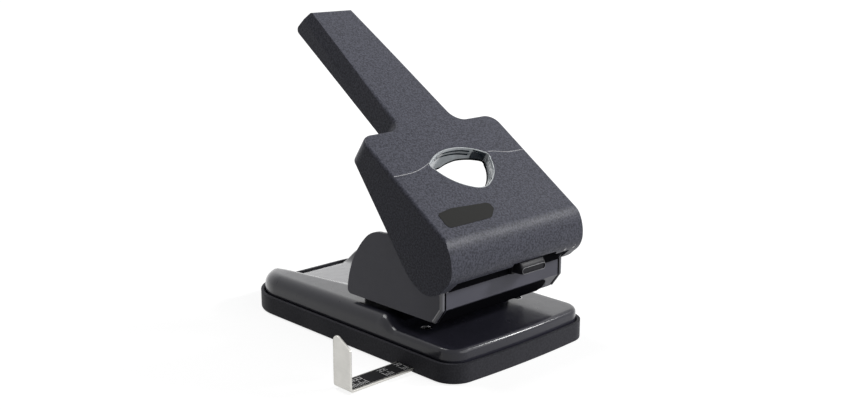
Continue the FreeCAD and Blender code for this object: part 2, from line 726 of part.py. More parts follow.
def build_handle_screws():
    """Six screws driven from below through the lever's plate."""
    solids = []
    for x, along in screw_spots():
        head = leaning(Part.makeCylinder(2.8, 1.8, Vector(x, along, LEVER_UNDER - 1.8)))
        solids.append(screw_shank(x, along).fuse(head).removeSplitter())
    group("handle_screws", solids)


def build_lever():
    """Steel lever: top plate, two cheeks on the shaft and a channel along the arm."""
    plate = new_body("lever_cheeks")
    profile = corners([(3.0, LEVER_TOP, 0), (78.0, LEVER_TOP, 0), (78.0, LEVER_TOP - 4, 0),
                       (52, 5.5, 12), (27.5, -9.6, 8), (-9.5, -9.6, 9.0), (-9.5, 8, 4)])
    pad(plate, side_sketch(plate, profile), "2 * sizes.lever_half", both=True)
    below = rectangle(-40, -60, 160, LEVER_UNDER)
    pocket(plate, side_sketch(plate, below), "2 * (sizes.lever_half - sizes.lever_sheet)", both=True)
    window = corners([(-29.5, 26.5, 6), (29.5, 26.5, 6), (29.5, 66.5, 6), (-29.5, 66.5, 6)])
    pocket(plate, plan_sketch(plate, window, LEVER_TOP + 1), "6")
    channel = new_body("lever_channel")
    pad(channel, side_sketch(channel, rectangle(70, 7, 186, LEVER_TOP)), "2 * 12.4", both=True)
    pocket(channel, side_sketch(channel, rectangle(60, -10, 200, LEVER_UNDER)), "2 * 9.9", both=True)
    joined = fuse_all("lever_blank", plate, channel)
    cuts = doc.addObject("Part::Feature", "lever_holes")
    across = Rotation(Vector(0, 1, 0), 90)
    bore = Part.makeCylinder(dim.shaft_radius + dim.running_gap, 120)
    bore.Placement = Placement(Vector(-60, PIVOT.y, PIVOT.z), across)
    bar = Part.makeCylinder(dim.bar_radius, 120)
    bar.Placement = Placement(Vector(-60, BAR_Y, BAR_Z), across)
    cuts.Shape = Part.Compound([bore, bar] + [screw_shank(x, along) for x, along in screw_spots()])
    keep(boolean("Cut", joined, cuts, "lever_cut"), "lever")
    bar = cross_rod("pressure_bar", "sizes.bar_radius", "sizes.lever_half", BAR_Y, BAR_Z)
    keep(bar, "pressure_bar")


def build_window_bezel():
    """Moulded lining of the handle's window."""
    bezel = new_body("window_bezel")
    pad(bezel, plan_sketch(bezel, window_outline(0), dim.handle_top - 10.0), "9.4")
    pocket(bezel, plan_sketch(bezel, window_outline(-1.8), dim.handle_top), "12")
    keep(bezel, "window_bezel")


def build_handle_label():
    """Thin blank label on the handle's top face."""
    label = new_body("handle_label")
    outline = corners([(-48.0, 6.2, 3), (-13.0, 6.2, 5), (-6.0, 12.0, 3), (-6.0, 17.2, 3),
                       (-36.0, 19.4, 4), (-48.0, 17.6, 3)])
    pad(label, plan_sketch(label, outline, dim.handle_top), "0.2")
    keep(label, "handle_label")


# ---------------------------------------------------------------- lock

def build_lock():
    """Sliding lock button at the nose and the carrier that it slides along."""
    slide = new_body("lock_slide")
    button = corners([(station(13.4), 51.4, 0), (station(13.4), 59.0, 0), (station(7.6), 59.0, 1.0),
                      (station(4.9), 55.6, 1.2), (station(5.2), 51.4, 1.0)])
    pad(slide, sketch_on(slide, "YZ_Plane", button, Placement(Vector(0, 0, 2.2), Rotation())), "22.3")
    runner = rectangle(station(12.6), 51.0, station(15.0), 60.6)
    pad(slide, sketch_on(slide, "YZ_Plane", runner, Placement(Vector(0, 0, 0.2), Rotation())), "26.3")
    keep(slide, "lock_slide")
    carrier = new_body("lock_carrier")
    section = corners([(station(15.4), 50.4, 0), (station(17.0), 50.4, 0), (station(17.0), 62.6, 0),
                       (station(9.8), 62.6, 0), (station(9.8), 61.0, 0), (station(15.4), 61.0, 0)])
    pad(carrier, sketch_on(carrier, "YZ_Plane", section, Placement(Vector(0, 0, -8), Rotation())),
        "54")
    keep(carrier, "lock_carrier")


# ---------------------------------------------------------------- paper guide

def build_paper_guide():
    """Bent steel rule with an upright flange, sliding through the tray, and its scale strip."""
    guide = new_body("paper_guide")
    outer, gauge = dim.guide_flange, dim.guide_sheet
    low = dim.guide_lift
    section = corners([(outer, low - 0.6, 0), (outer + gauge, low - 0.6, 0),
                       (outer + gauge, low, 0), (dim.guide_end, low, 0),
                       (dim.guide_end, low + gauge, 0), (outer + gauge, low + gauge, 1.0),
                       (outer + gauge, 28.2, 0), (outer, 28.2, 0)])
    pad(guide, sketch_on(guide, "XZ_Plane", section,
                         Placement(Vector(0, 0, -station(dim.guide_front)), Rotation())),
        "sizes.guide_width", backwards=True)
    front = station(dim.guide_front)
    above = corners([(front - 1, 22.8, 0), (front + 11.6, 27.6, 1.5),
                     (front + dim.guide_width + 1, 25.2, 0), (front + dim.guide_width + 1, 35, 0),
                     (front - 1, 35, 0)])
    pocket(guide, sketch_on(guide, "YZ_Plane", above, Placement(Vector(0, 0, -120), Rotation())),
           "30", backwards=True)
    keep(guide, "paper_guide")
    scale = new_body("guide_scale")
    pad(scale, sketch_on(scale, "XY_Plane",
                         rectangle(outer + 3, front + 1.4, dim.guide_end - 4,
                                   front + dim.guide_width - 1.4),
                         Placement(Vector(0, 0, low + gauge), Rotation())), "0.2")
    keep(scale, "guide_scale")


# ---------------------------------------------------------------- assembly

def check(things):
    """Stop before writing if any object failed or any piece is not a sound solid."""
    for thing in doc.Objects:
        if "Invalid" in thing.State or "Error" in thing.State:
            raise RuntimeError(f"{thing.Name} failed to build")
    for thing in things:
        if thing.Shape.isNull() or not thing.Shape.isValid() or not thing.Shape.Solids:
            raise RuntimeError(f"{thing.Label} is not a valid solid")


BUILDERS = (build_chip_tray, build_foot_pads, build_base_cover, build_dies, build_bracket_seat,
            build_bracket, build_paper_stop, build_pivot, build_pins, build_lever,
            build_handle_shell, build_handle_screws, build_window_bezel, build_handle_label,
            build_lock, build_paper_guide)
for build in BUILDERS:
    build()
doc.recompute()
check(nodes)
os.makedirs("parts", exist_ok=True)
for node in nodes:
    node.Shape.exportStep(f"parts/{node.Label}.step")
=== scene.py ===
"""Looks of a heavy-duty two-hole lever punch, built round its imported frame.

Objects are in metres in the frame's own axes: +X to the right, +Y to the rear and +Z up, with the
origin under the middle of the base.  Sizes in the classes are millimetres unless they say otherwise.
"""

import json
import logging
import math
from collections.abc import Callable, Sequence
from dataclasses import dataclass
from enum import Enum

import bmesh
import bpy
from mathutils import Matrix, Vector


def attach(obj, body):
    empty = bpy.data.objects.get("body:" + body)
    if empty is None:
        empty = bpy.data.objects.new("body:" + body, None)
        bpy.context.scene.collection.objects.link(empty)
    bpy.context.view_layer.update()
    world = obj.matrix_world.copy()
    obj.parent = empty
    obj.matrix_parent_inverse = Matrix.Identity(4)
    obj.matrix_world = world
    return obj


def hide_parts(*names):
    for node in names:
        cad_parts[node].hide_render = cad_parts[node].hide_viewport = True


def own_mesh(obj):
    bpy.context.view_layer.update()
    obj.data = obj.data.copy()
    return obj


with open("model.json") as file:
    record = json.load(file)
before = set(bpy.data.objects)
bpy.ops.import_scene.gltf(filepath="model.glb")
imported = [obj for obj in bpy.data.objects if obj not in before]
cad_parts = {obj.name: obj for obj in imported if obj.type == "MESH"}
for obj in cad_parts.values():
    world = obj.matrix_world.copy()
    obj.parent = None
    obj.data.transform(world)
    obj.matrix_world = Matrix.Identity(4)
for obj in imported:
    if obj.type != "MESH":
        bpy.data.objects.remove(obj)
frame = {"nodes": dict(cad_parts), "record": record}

LOG = logging.getLogger("punch")
MM = 0.001
WELD = 0.002
Point = tuple[float, float]
Place = tuple[float, float, float]
Colour = tuple[float, float, float]
Socket = bpy.types.NodeSocket
SHELF: dict[str, bpy.types.Material] = {}

# The noise textures' factor hardly leaves this range, so finishes change over it.
NOISE_SPAN: Point = (0.3, 0.7)
WHITE = (1.0, 1.0, 1.0, 1.0)


def link(name: str, data: bpy.types.ID) -> bpy.types.Object:
    """Make an object of a mesh, a lamp or a camera and put it in the scene.

    Args:
        name: The object's name.
        data: The mesh, lamp or camera that it shows.

    Returns:
        The new object.
    """
    thing = bpy.data.objects.new(name, data)
    bpy.context.collection.objects.link(thing)
    return thing


def face(thing: bpy.types.Object, direction: Vector, axis: str = "-Z") -> None:
    """Turn an object so that one of its axes looks in a direction."""
    thing.rotation_euler = direction.to_track_quat(axis, "Y").to_euler()


# ---------------------------------------------------------------- finishes

class Grain(Enum):
    """Direction in which a metal finish is drawn out."""

    ALONG_X = (0.04, 1.0, 1.0)
    ALONG_Y = (1.0, 0.04, 1.0)
    ALONG_Z = (1.0, 1.0, 0.04)
    EVEN = (1.0, 1.0, 1.0)


class Tree:
    """A node tree, with short ways to add nodes and join them."""

    def __init__(self, tree: bpy.types.NodeTree) -> None:
        """Take a node tree to work on."""
        self.tree = tree

    def add(self, kind: str) -> bpy.types.Node:
        """Add a node of a kind and return it."""
        return self.tree.nodes.new(kind)

    def join(self, source: Socket, target: Socket) -> None:
        """Link an output socket to an input socket."""
        self.tree.links.new(source, target)

    def mapped(self, factor: Socket, low: float, high: float, span: Point = NOISE_SPAN) -> Socket:
        """Map a factor from one range to another, held at its ends.

        Args:
            factor: The socket that varies.
            low: Result at the start of the span.
            high: Result at its end.
            span: Range of the factor over which the change happens.

        Returns:
            The mapped socket.
        """
        node = self.add("ShaderNodeMapRange")
        for word, value in zip(("From Min", "From Max", "To Min", "To Max"), (*span, low, high)):
            node.inputs[word].default_value = value
        self.join(factor, node.inputs["Value"])
        return node.outputs["Result"]

    def calculate(self, operation: str, one: Socket, other: Socket) -> Socket:
        """Result of a mathematical operation on two sockets.

        Args:
            operation: The operation's name in Blender.
            one: First socket or number.
            other: Second socket or number.

        Returns:
            The socket that holds the result.
        """
        node = self.add("ShaderNodeMath")
        node.operation = operation
        self.join(one, node.inputs[0])
        self.join(other, node.inputs[1])
        return node.outputs["Value"]

    def seen_directly(self, usual: float, seen: float) -> Socket:
        """A strength that differs for rays from the eye, from gloss and through glass.

        Args:
            usual: Strength for every other ray.
            seen: Strength for those rays.

        Returns:
            The strength's socket.
        """
        paths = self.add("ShaderNodeLightPath").outputs
        either = self.calculate("MAXIMUM", paths["Is Camera Ray"], paths["Is Glossy Ray"])
        either = self.calculate("MAXIMUM", either, paths["Is Transmission Ray"])
        return self.mapped(either, usual, seen, (0.0, 1.0))


class Recipe(Tree):
    """One material's node tree, built round a Principled shader."""

    def __init__(self, name: str) -> None:
        """Start a tree that holds nothing but the shader and its output.

        Args:
            name: The material's name.
        """
        self.material = bpy.data.materials.new(name)
        self.material.use_nodes = True
        super().__init__(self.material.node_tree)
        self.tree.nodes.clear()
        output = self.add("ShaderNodeOutputMaterial")
        self.shader = self.add("ShaderNodeBsdfPrincipled")
        self.join(self.shader.outputs["BSDF"], output.inputs["Surface"])
        self.coordinates = self.add("ShaderNodeTexCoord").outputs["Object"]

    def constants(self, **values: object) -> None:
        """Set plain values on the shader's sockets, named with underscores for spaces."""
        for word, value in values.items():
            self.shader.inputs[word.replace("_", " ")].default_value = value

    def noise(self, size: float, detail: float = 2.0, grain: Grain = Grain.EVEN) -> Socket:
        """Fractal noise.

        Args:
            size: Width of one blotch in millimetres.
            detail: Octaves of finer noise.
            grain: Direction in which the blotches are drawn out.

        Returns:
            The factor socket, between 0 and 1.
        """
        texture = self.add("ShaderNodeTexNoise")
        texture.inputs["Scale"].default_value = 1.0 / (size * MM)
        texture.inputs["Detail"].default_value = detail
        place = self.coordinates
        if grain is not Grain.EVEN:
            mapping = self.add("ShaderNodeMapping")
            mapping.inputs["Scale"].default_value = grain.value
            self.join(place, mapping.inputs["Vector"])
            place = mapping.outputs["Vector"]
        self.join(place, texture.inputs["Vector"])
        return texture.outputs["Fac"]

    def cells(self, size: float) -> Socket:
        """Smooth cell pattern, the distance from scattered points.

        Args:
            size: Spacing of the points in millimetres.

        Returns:
            The distance socket.
        """
        texture = self.add("ShaderNodeTexVoronoi")
        texture.feature = "SMOOTH_F1"
        texture.inputs["Scale"].default_value = 1.0 / (size * MM)
        self.join(self.coordinates, texture.inputs["Vector"])
        return texture.outputs["Distance"]

    def paint(self, factor: Socket, dark: Colour, light: Colour, span: Point = NOISE_SPAN) -> None:
        """Blend the shader's colour between two colours by a factor.

        Args:
            factor: The socket that varies.
            dark: Colour at the start of the span.
            light: Colour at its end.
            span: Range of the factor over which the blend happens.
        """
        ramp = self.add("ShaderNodeValToRGB")
        for stop, place, colour in zip(ramp.color_ramp.elements, span, (dark, light)):
            stop.position = place
            stop.color = (*colour, 1.0)
        self.join(factor, ramp.inputs["Fac"])
        self.join(ramp.outputs["Color"], self.shader.inputs["Base Color"])

    def gloss(self, factor: Socket, low: float, high: float) -> None:
        """Vary the shader's roughness from low to high by a factor."""
        self.join(self.mapped(factor, low, high), self.shader.inputs["Roughness"])

    def bump(self, height: Socket, depth: float, strength: float = 1.0) -> None:
        """Add relief to the shader's normal, over any relief that it already has.

        Args:
            height: The socket that gives the relief.
            depth: Height of a full step in millimetres.
            strength: Share of the effect.
        """
        node = self.add("ShaderNodeBump")
        node.inputs["Strength"].default_value = strength
        node.inputs["Distance"].default_value = depth * MM
        self.join(height, node.inputs["Height"])
        before = self.shader.inputs["Normal"].links
        if before:
            self.join(before[0].from_socket, node.inputs["Normal"])
        self.join(node.outputs["Normal"], self.shader.inputs["Normal"])


def shade(colour: Colour, factor: float) -> Colour:
    """A colour made darker or lighter by a factor."""
    return tuple(min(channel * factor, 1.0) for channel in colour)


@dataclass(frozen=True)
class Finish:
    """A finish that can be turned into a material."""

    name: str
    colour: Colour
    roughness: float = 0.5

    def fill(self, recipe: Recipe) -> None:
        """Add this kind of finish to an empty recipe."""
        raise NotImplementedError

    def tinge(self, recipe: Recipe, factor: Socket, share: float, span: Point = NOISE_SPAN) -> None:
        """Paint from darker to lighter than the finish's colour by a share of it."""
        recipe.paint(factor, shade(self.colour, 1 - share), shade(self.colour, 1 + share), span)

    def material(self) -> bpy.types.Material:
        """The finish's material, made once and then shared.

        Returns:
            The material, with its recipe filled in.
        """
        if self.name not in SHELF:
            recipe = Recipe(self.name)
            self.fill(recipe)
            SHELF[self.name] = recipe.material
        return SHELF[self.name]


@dataclass(frozen=True)
class TexturedPlastic(Finish):
    """Moulded plastic with a fine spark-eroded texture."""

    grain: float = 1.1
    depth: float = 0.05
    mottle: float = 0.16
    specular: float = 0.5

    def fill(self, recipe: Recipe) -> None:
        """Pits and flecks over slow changes of gloss where hands have been.

        Args:
            recipe: The recipe to fill in.
        """
        recipe.constants(Specular_IOR_Level=self.specular)
        fleck = recipe.noise(self.grain, detail=4.0)
        self.tinge(recipe, fleck, self.mottle, (0.38, 0.62))
        recipe.gloss(recipe.noise(24.0, detail=4.0), self.roughness - 0.05, self.roughness + 0.05)
        recipe.bump(recipe.cells(self.grain * 0.8), self.depth)
        recipe.bump(recipe.noise(self.grain * 0.5), self.depth * 0.5)


@dataclass(frozen=True)
class StovedEnamel(Finish):
    """Stoved enamel over pressed steel, smooth with a faint orange peel."""

    peel: float = 2.4
    depth: float = 0.012
    coat: float = 1.0
    coat_ior: float = 1.5
    coat_roughness: float = 0.12
    specular: float = 0.1

    def fill(self, recipe: Recipe) -> None:
        """A soft base under a thin clear skin with long waves and fine dust.

        Args:
            recipe: The recipe to fill in.
        """
        recipe.constants(Coat_Weight=self.coat, Coat_Roughness=self.coat_roughness,
                         Coat_IOR=self.coat_ior, Specular_IOR_Level=self.specular)
        self.tinge(recipe, recipe.noise(35.0, detail=3.0), 0.12)
        recipe.gloss(recipe.noise(6.0, detail=6.0), self.roughness - 0.03, self.roughness + 0.05)
        recipe.bump(recipe.noise(self.peel, detail=1.0), self.depth)


@dataclass(frozen=True)
class WorkedSteel(Finish):
    """Bare or plated steel with the marks of drawing or grinding."""

    grain: Grain = Grain.EVEN
    mark: float = 0.5
    depth: float = 0.006
    tarnish: float = 0.12

    def fill(self, recipe: Recipe) -> None:
        """Metal with drawn marks in its relief and roughness, and a slight tarnish.

        Args:
            recipe: The recipe to fill in.
        """
        recipe.constants(Metallic=1.0)
        recipe.paint(recipe.noise(9.0, detail=5.0), shade(self.colour, 1 - self.tarnish), self.colour)
        marks = recipe.noise(self.mark, detail=3.0, grain=self.grain)
        recipe.gloss(marks, self.roughness - 0.08, self.roughness + 0.1)
        recipe.bump(marks, self.depth)


@dataclass(frozen=True)
class SoftRubber(Finish):
    """Matt rubber with a dusty skin."""

    def fill(self, recipe: Recipe) -> None:
        """Even matt black with a powdery bloom.

        Args:
            recipe: The recipe to fill in.
        """
        bloom = recipe.noise(3.0, detail=6.0)
        recipe.paint(bloom, self.colour, shade(self.colour, 1.8), (0.4, 0.75))
        recipe.gloss(bloom, self.roughness - 0.1, self.roughness)
        recipe.bump(recipe.noise(0.4), 0.02)


@dataclass(frozen=True)
class PrintedFilm(Finish):
    """Thin self-adhesive film or print, nearly smooth."""

    specular: float = 0.15

    def fill(self, recipe: Recipe) -> None:
        """A smooth skin with a slight fibre in its tone and gloss.

        Args:
            recipe: The recipe to fill in.
        """
        recipe.constants(Specular_IOR_Level=self.specular)
        fibre = recipe.noise(0.8, detail=4.0)
        self.tinge(recipe, fibre, 0.15)
        recipe.gloss(fibre, self.roughness - 0.05, self.roughness + 0.05)
        recipe.bump(recipe.noise(5.0, detail=2.0), 0.01)


@dataclass(frozen=True)
class PolishedPlastic(Finish):
    """Moulded plastic polished to a gloss, with faint flow marks."""

    specular: float = 0.5

    def fill(self, recipe: Recipe) -> None:
        """Gloss with long faint waves where the melt met.

        Args:
            recipe: The recipe to fill in.
        """
        recipe.constants(Specular_IOR_Level=self.specular)
        flow = recipe.noise(7.0, detail=2.0)
        self.tinge(recipe, flow, 0.1)
        recipe.gloss(flow, self.roughness - 0.04, self.roughness + 0.04)
        recipe.bump(flow, 0.02)


HANDLE_PLASTIC = TexturedPlastic("satin_moulding", (0.078, 0.080, 0.100), 0.33, mottle=0.36,
                                 specular=0.085)
TRAY_PLASTIC = TexturedPlastic("tray_moulding", (0.042, 0.042, 0.049), 0.55, depth=0.03,
                               specular=0.08)
LOCK_PLASTIC = TexturedPlastic("lock_moulding", (0.011, 0.011, 0.014), 0.40, depth=0.01, specular=0.14)
# Pale plastic of the lock button's rim: a painted highlight on its rounded edge.
RIM_HIGHLIGHT_PLASTIC = TexturedPlastic("rim_highlight_moulding", (0.16, 0.16, 0.17), 0.40, depth=0.01, specular=0.35)
# Black plastic of the frame's black parts, also used as painted shade: the nose strip, the fold lines, the
# chin strip and the lining's lower edge.
BLACK_AND_SHADE_PLASTIC = TexturedPlastic("black_and_shade_moulding", (0.003, 0.003, 0.004), 0.6, depth=0.02, specular=0.01)
WHITE_NYLON = TexturedPlastic("plain_nylon", (0.62, 0.61, 0.57), 0.4, depth=0.01)
# Pale plastic of the crest line: a painted highlight along the crease of the handle's top.
CREST_HIGHLIGHT_PLASTIC = TexturedPlastic("crest_highlight_moulding", (0.42, 0.42, 0.44), 0.4, depth=0.01, specular=0.3)
COVER_ENAMEL = StovedEnamel("black_stoving", (0.025, 0.025, 0.036), 0.3, coat=1.0, coat_roughness=0.13,
                            coat_ior=1.32)
BRACKET_ENAMEL = StovedEnamel("bracket_stoving", (0.082, 0.082, 0.104), 0.4, peel=1.6, coat=0.28,
                              coat_roughness=0.22)
# Lighter, glossier enamel of the rolled folds: a painted highlight along the bends.
BEAD_HIGHLIGHT_ENAMEL = StovedEnamel("bead_highlight_stoving", (0.15, 0.15, 0.17), 0.3, coat=1.0, coat_roughness=0.10)
BLACKED_STEEL = WorkedSteel("blacked_steel", (0.030, 0.030, 0.032), 0.5, Grain.ALONG_X)
BRIGHT_STEEL = WorkedSteel("ground_steel", (0.68, 0.68, 0.70), 0.22, Grain.EVEN)
SPRING_STEEL = WorkedSteel("spring_wire", (0.50, 0.49, 0.47), 0.28, Grain.ALONG_Z)
GUIDE_STEEL = WorkedSteel("plated_rule", (0.62, 0.61, 0.58), 0.42, Grain.ALONG_Y)
FOOT_RUBBER = SoftRubber("pad_rubber", (0.02, 0.02, 0.02), 0.85)
LABEL_FILM = PrintedFilm("blank_label", (0.018, 0.018, 0.017), 0.5, specular=0.11)
SCALE_FILM = PrintedFilm("scale_strip", (0.008, 0.008, 0.009), 0.5)
MARK_PRINT = PrintedFilm("white_print", (0.62, 0.62, 0.62), 0.5)
BEZEL_PLASTIC = PolishedPlastic("window_gloss", (0.50, 0.53, 0.55), 0.16)
# Dark gloss of the window lining's strips of painted shade, in its slots and darker stretches.
SHADE_GLOSS = PolishedPlastic("window_shade", (0.020, 0.028, 0.038), 0.12)

SLOT_FINISHES: dict[str, Finish] = {
    "tray_plastic": TRAY_PLASTIC,
    "foot_rubber": FOOT_RUBBER,
    "cover_enamel": COVER_ENAMEL,
    "inner_steel": BLACKED_STEEL,
    "bright_steel": BRIGHT_STEEL,
    "bracket_enamel": BRACKET_ENAMEL,
    "black_plastic": BLACK_AND_SHADE_PLASTIC,
    "spring_steel": SPRING_STEEL,
    "white_nylon": WHITE_NYLON,
    "handle_plastic": HANDLE_PLASTIC,
    "bezel_plastic": BEZEL_PLASTIC,
    "label_film": LABEL_FILM,
    "lock_plastic": LOCK_PLASTIC,
    "guide_steel": GUIDE_STEEL,
    "scale_film": SCALE_FILM,
}


def dress(thing: bpy.types.Object, finish: Finish) -> None:
    """Give an object one finish on all of its slots.

    Args:
        thing: The mesh object to dress.
        finish: Its finish.
    """
    if not thing.material_slots:
        thing.data.materials.append(finish.material())
        return
    for slot in thing.material_slots:
        slot.material = finish.material()


# ---------------------------------------------------------------- studio

@dataclass(frozen=True)
class Softbox:
    """A large square lamp aimed at the punch; size and place are metres and power is watts."""

    name: str
    place: Place
    size: float
    power: float

    def build(self, aim: Vector) -> None:
        """Hang the lamp and turn it to the point that it faces.

        Args:
            aim: The point that the lamp faces.
        """
        lamp = bpy.data.lights.new(self.name, "AREA")
        lamp.shape = "SQUARE"
        lamp.size = self.size
        lamp.energy = self.power
        thing = link(self.name, lamp)
        thing.location = self.place
        face(thing, aim - thing.location)


@dataclass(frozen=True)
class Skylight:
    """A far broad lamp that lights the whole floor evenly; width is the angle that it fills."""

    name: str
    towards: Place
    width: float
    strength: float

    def build(self) -> None:
        """Point the lamp so that its light comes from the stated direction."""
        lamp = bpy.data.lights.new(self.name, "SUN")
        lamp.energy = self.strength
        lamp.angle = math.radians(self.width)
        face(link(self.name, lamp), Vector(self.towards), "Z")


@dataclass(frozen=True)
class Studio:
    """Camera, pale floor and plain soft light; places are metres."""

    camera_place: Place = (-0.4810, -0.5213, 0.2565)
    camera_back: Place = (-0.6695, -0.7011, 0.2453)
    lens: float = 48.07
    aim: Place = (0.0, 0.0, 0.08)
    floor_half: float = 30.0
    floor_tone: float = 0.36
    floor_glow: float = 0.81
    far_glow: float = 1.0
    glow_reach: Point = (0.35, 0.95)
    fill: float = 0.02
    floor_level: float = -0.0002
    tooth: float = 120.0
    skylights: tuple[Skylight, ...] = (
        Skylight("key_skylight", (0.26, -0.88, 0.38), 50.0, 1.30),
    )
    softboxes: tuple[Softbox, ...] = (
        Softbox("nose_softbox", (0.97, -0.80, 0.78), 0.24, 9.5),
        Softbox("edge_softbox", (0.94, -0.14, 1.01), 0.30, 0.4),
        Softbox("arm_softbox", (-0.12, 0.50, 1.15), 0.50, 6.0),
    )

    def build(self) -> None:
        """Build the whole studio."""
        self.build_camera()
        self.build_world()
        self.build_floor()
        for skylight in self.skylights:
            skylight.build()
        for softbox in self.softboxes:
            softbox.build(Vector(self.aim))
        bpy.context.scene.view_settings.view_transform = "Standard"
        LOG.info("studio: camera, floor, world and %d lamps", len(self.skylights) + len(self.softboxes))

    def build_camera(self) -> None:
        """Place the camera and make it the scene's own."""
        data = bpy.data.cameras.new("camera")
        data.lens = self.lens
        data.clip_start = 0.01
        camera = link("camera", data)
        camera.location = self.camera_place
        face(camera, -Vector(self.camera_back))
        bpy.context.scene.camera = camera

    def build_world(self) -> None:
        """White surroundings for the eye and for reflections, and a softer fill for the rest."""
        world = bpy.data.worlds.new("surroundings")
        world.use_nodes = True
        background = world.node_tree.nodes["Background"]
        background.inputs["Color"].default_value = WHITE
        strength = Tree(world.node_tree).seen_directly(self.fill, 1.0)
        world.node_tree.links.new(strength, background.inputs["Strength"])
        bpy.context.scene.world = world

    def build_floor(self) -> None:
        """Wide pale floor that keeps the punch's shadow and glows more the further it is away."""
        mesh = bpy.data.meshes.new("floor")
        half = self.floor_half
        corners = ((-half, -half), (half, -half), (half, half), (-half, half))
        mesh.from_pydata([(*corner, self.floor_level) for corner in corners], [], [(0, 1, 2, 3)])
        floor = link("floor", mesh)
        recipe = Recipe("floor_paper")
        recipe.constants(Roughness=0.9, Specular_IOR_Level=0.0, Emission_Color=WHITE)
        tone = self.floor_tone
        recipe.paint(recipe.noise(self.tooth, detail=3.0), (tone,) * 3, (tone + 0.01,) * 3)
        away = recipe.add("ShaderNodeVectorMath")
        away.operation = "LENGTH"
        recipe.join(recipe.coordinates, away.inputs[0])
        spread = recipe.mapped(away.outputs["Value"], self.floor_glow, self.far_glow, self.glow_reach)
        glow = recipe.calculate("MULTIPLY", recipe.seen_directly(0.0, 1.0), spread)
        recipe.join(glow, recipe.shader.inputs["Emission Strength"])
        mesh.materials.append(recipe.material)


# ---------------------------------------------------------------- mesh helpers

class Skin:
    """Vertices and faces of one piece, gathered in millimetres before its mesh is made."""

    def __init__(self) -> None:
        """Start with nothing."""
        self.spots: list[Vector] = []
        self.faces: list[tuple[int, ...]] = []

    def row(self, places: Sequence[Vector]) -> list[int]:
        """Add a row of points.

        Args:
            places: The points in order.

        Returns:
            Their numbers.
        """
        first = len(self.spots)
        self.spots.extend(Vector(place) for place in places)
        return list(range(first, len(self.spots)))

    def bridge(self, one: Sequence[int], other: Sequence[int], closed: bool = True) -> None:
        """Join two rows of the same length with four-sided faces.

        Args:
            one: Numbers of the first row.
            other: Numbers of the second row.
            closed: Whether the last point joins the first again.
        """
        count = len(one)
        for index in range(count if closed else count - 1):
            after = (index + 1) % count
            self.faces.append((one[index], one[after], other[after], other[index]))

    def loft(self, rows: Sequence[Sequence[Vector]], closed: bool = True) -> list[list[int]]:
        """Join several rows of points, each to the next.

        Args:
            rows: The rows in order.
            closed: Whether each row is a ring.

        Returns:
            The numbers of every row.
        """
        numbers = [self.row(places) for places in rows]
        for one, other in zip(numbers, numbers[1:]):
            self.bridge(one, other, closed)
        return numbers

    def cap(self, ring: Sequence[int]) -> None:
        """Close a ring with one flat face."""
        self.faces.append(tuple(ring))

    def solid(self, rows: Sequence[Sequence[Vector]]) -> None:
        """Loft several rings and close both ends.

        Args:
            rows: The rings, from one end to the other.
        """
        numbers = self.loft(rows)
        self.cap(numbers[0])
        self.cap(numbers[-1])

    def hoop(self, rows: Sequence[Sequence[Vector]]) -> None:
        """Loft several rings and join the last to the first."""
        numbers = self.loft(rows)
        self.bridge(numbers[-1], numbers[0])

    def box(self, low: Sequence[float], high: Sequence[float]) -> None:
        """Add a box between two corners.

        Args:
            low: The corner with the least coordinates.
            high: The corner opposite it.
        """
        (x0, y0, z0), (x1, y1, z1) = low, high
        self.solid([[Vector((x, y, z)) for x, y in ((x0, y0), (x1, y0), (x1, y1), (x0, y1))]
                    for z in (z0, z1)])

    def build(self, name: str, crease: float = 35.0) -> bpy.types.Object:
        """Make the object, smooth except where faces meet at more than an angle.

        Args:
            name: The piece's name.
            crease: That angle in degrees.

        Returns:
            The object, linked to the scene.
        """
        form = bmesh.new()
        corners = [form.verts.new(spot * MM) for spot in self.spots]
        for face in self.faces:
            form.faces.new([corners[number] for number in face])
        bmesh.ops.remove_doubles(form, verts=form.verts, dist=WELD * MM)
        bmesh.ops.recalc_face_normals(form, faces=form.faces)
        mesh = bpy.data.meshes.new(name)
        form.to_mesh(mesh)
        form.free()
        smooth(mesh, crease)
        return link(name, mesh)


def smooth(mesh: bpy.types.Mesh, crease: float = 35.0) -> None:
    """Shade a mesh smooth, with sharp edges where faces meet at more than an angle in degrees."""
    mesh.shade_smooth()
    mesh.set_sharp_from_angle(angle=math.radians(crease))


def settle(thing: bpy.types.Object) -> None:
    """Apply an object's modifiers for good and mark its sharp edges again.

    Args:
        thing: The object whose modifiers are applied.
    """
    graph = bpy.context.evaluated_depsgraph_get()
    mesh = bpy.data.meshes.new_from_object(thing.evaluated_get(graph))
    thing.modifiers.clear()
    thing.data = mesh
    smooth(mesh)


def fit(thing: bpy.types.Object, finish: Finish, slot: str, body: str, *replaced: str) -> None:
    """Dress a finished piece and set it on the body that carries it.

    Args:
        thing: The piece.
        finish: Its finish.
        slot: The record's material slot that it belongs to; not used.
        body: The body that it rides on.
        *replaced: Nodes of the frame that it stands for.
    """
    dress(thing, finish)
    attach(thing, body)
    if replaced:
        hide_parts(*replaced)
    LOG.info("%s: %d faces on %s", thing.name, len(thing.data.polygons), body)


def mixed(start: float, stop: float, share: float) -> float:
    """Value part of the way from one to another."""
    return start + (stop - start) * share


def steps(start: float, stop: float, count: int) -> list[float]:
    """Even values from start up to but not including stop."""
    return [mixed(start, stop, index / count) for index in range(count)]


def turns(start: float, stop: float, count: int) -> list[float]:
    """Even angles in radians from start up to but not including stop, both given in degrees."""
    return [math.radians(angle) for angle in steps(start, stop, count)]


def polar(x: float, y: float, radius: float, angle: float) -> Point:
    """Point at a distance and an angle from another point."""
    return x + radius * math.cos(angle), y + radius * math.sin(angle)


def lesser(one: float, other: float, blend: float) -> float:
    """Smaller of two values, rounded off where they are within blend of each other."""
    near = max(blend - abs(one - other), 0.0) / blend
    return min(one, other) - near * near * blend / 4


def greater(one: float, other: float, blend: float) -> float:
    """Larger of two values, rounded off where they are within blend of each other."""
    return -lesser(-one, -other, blend)


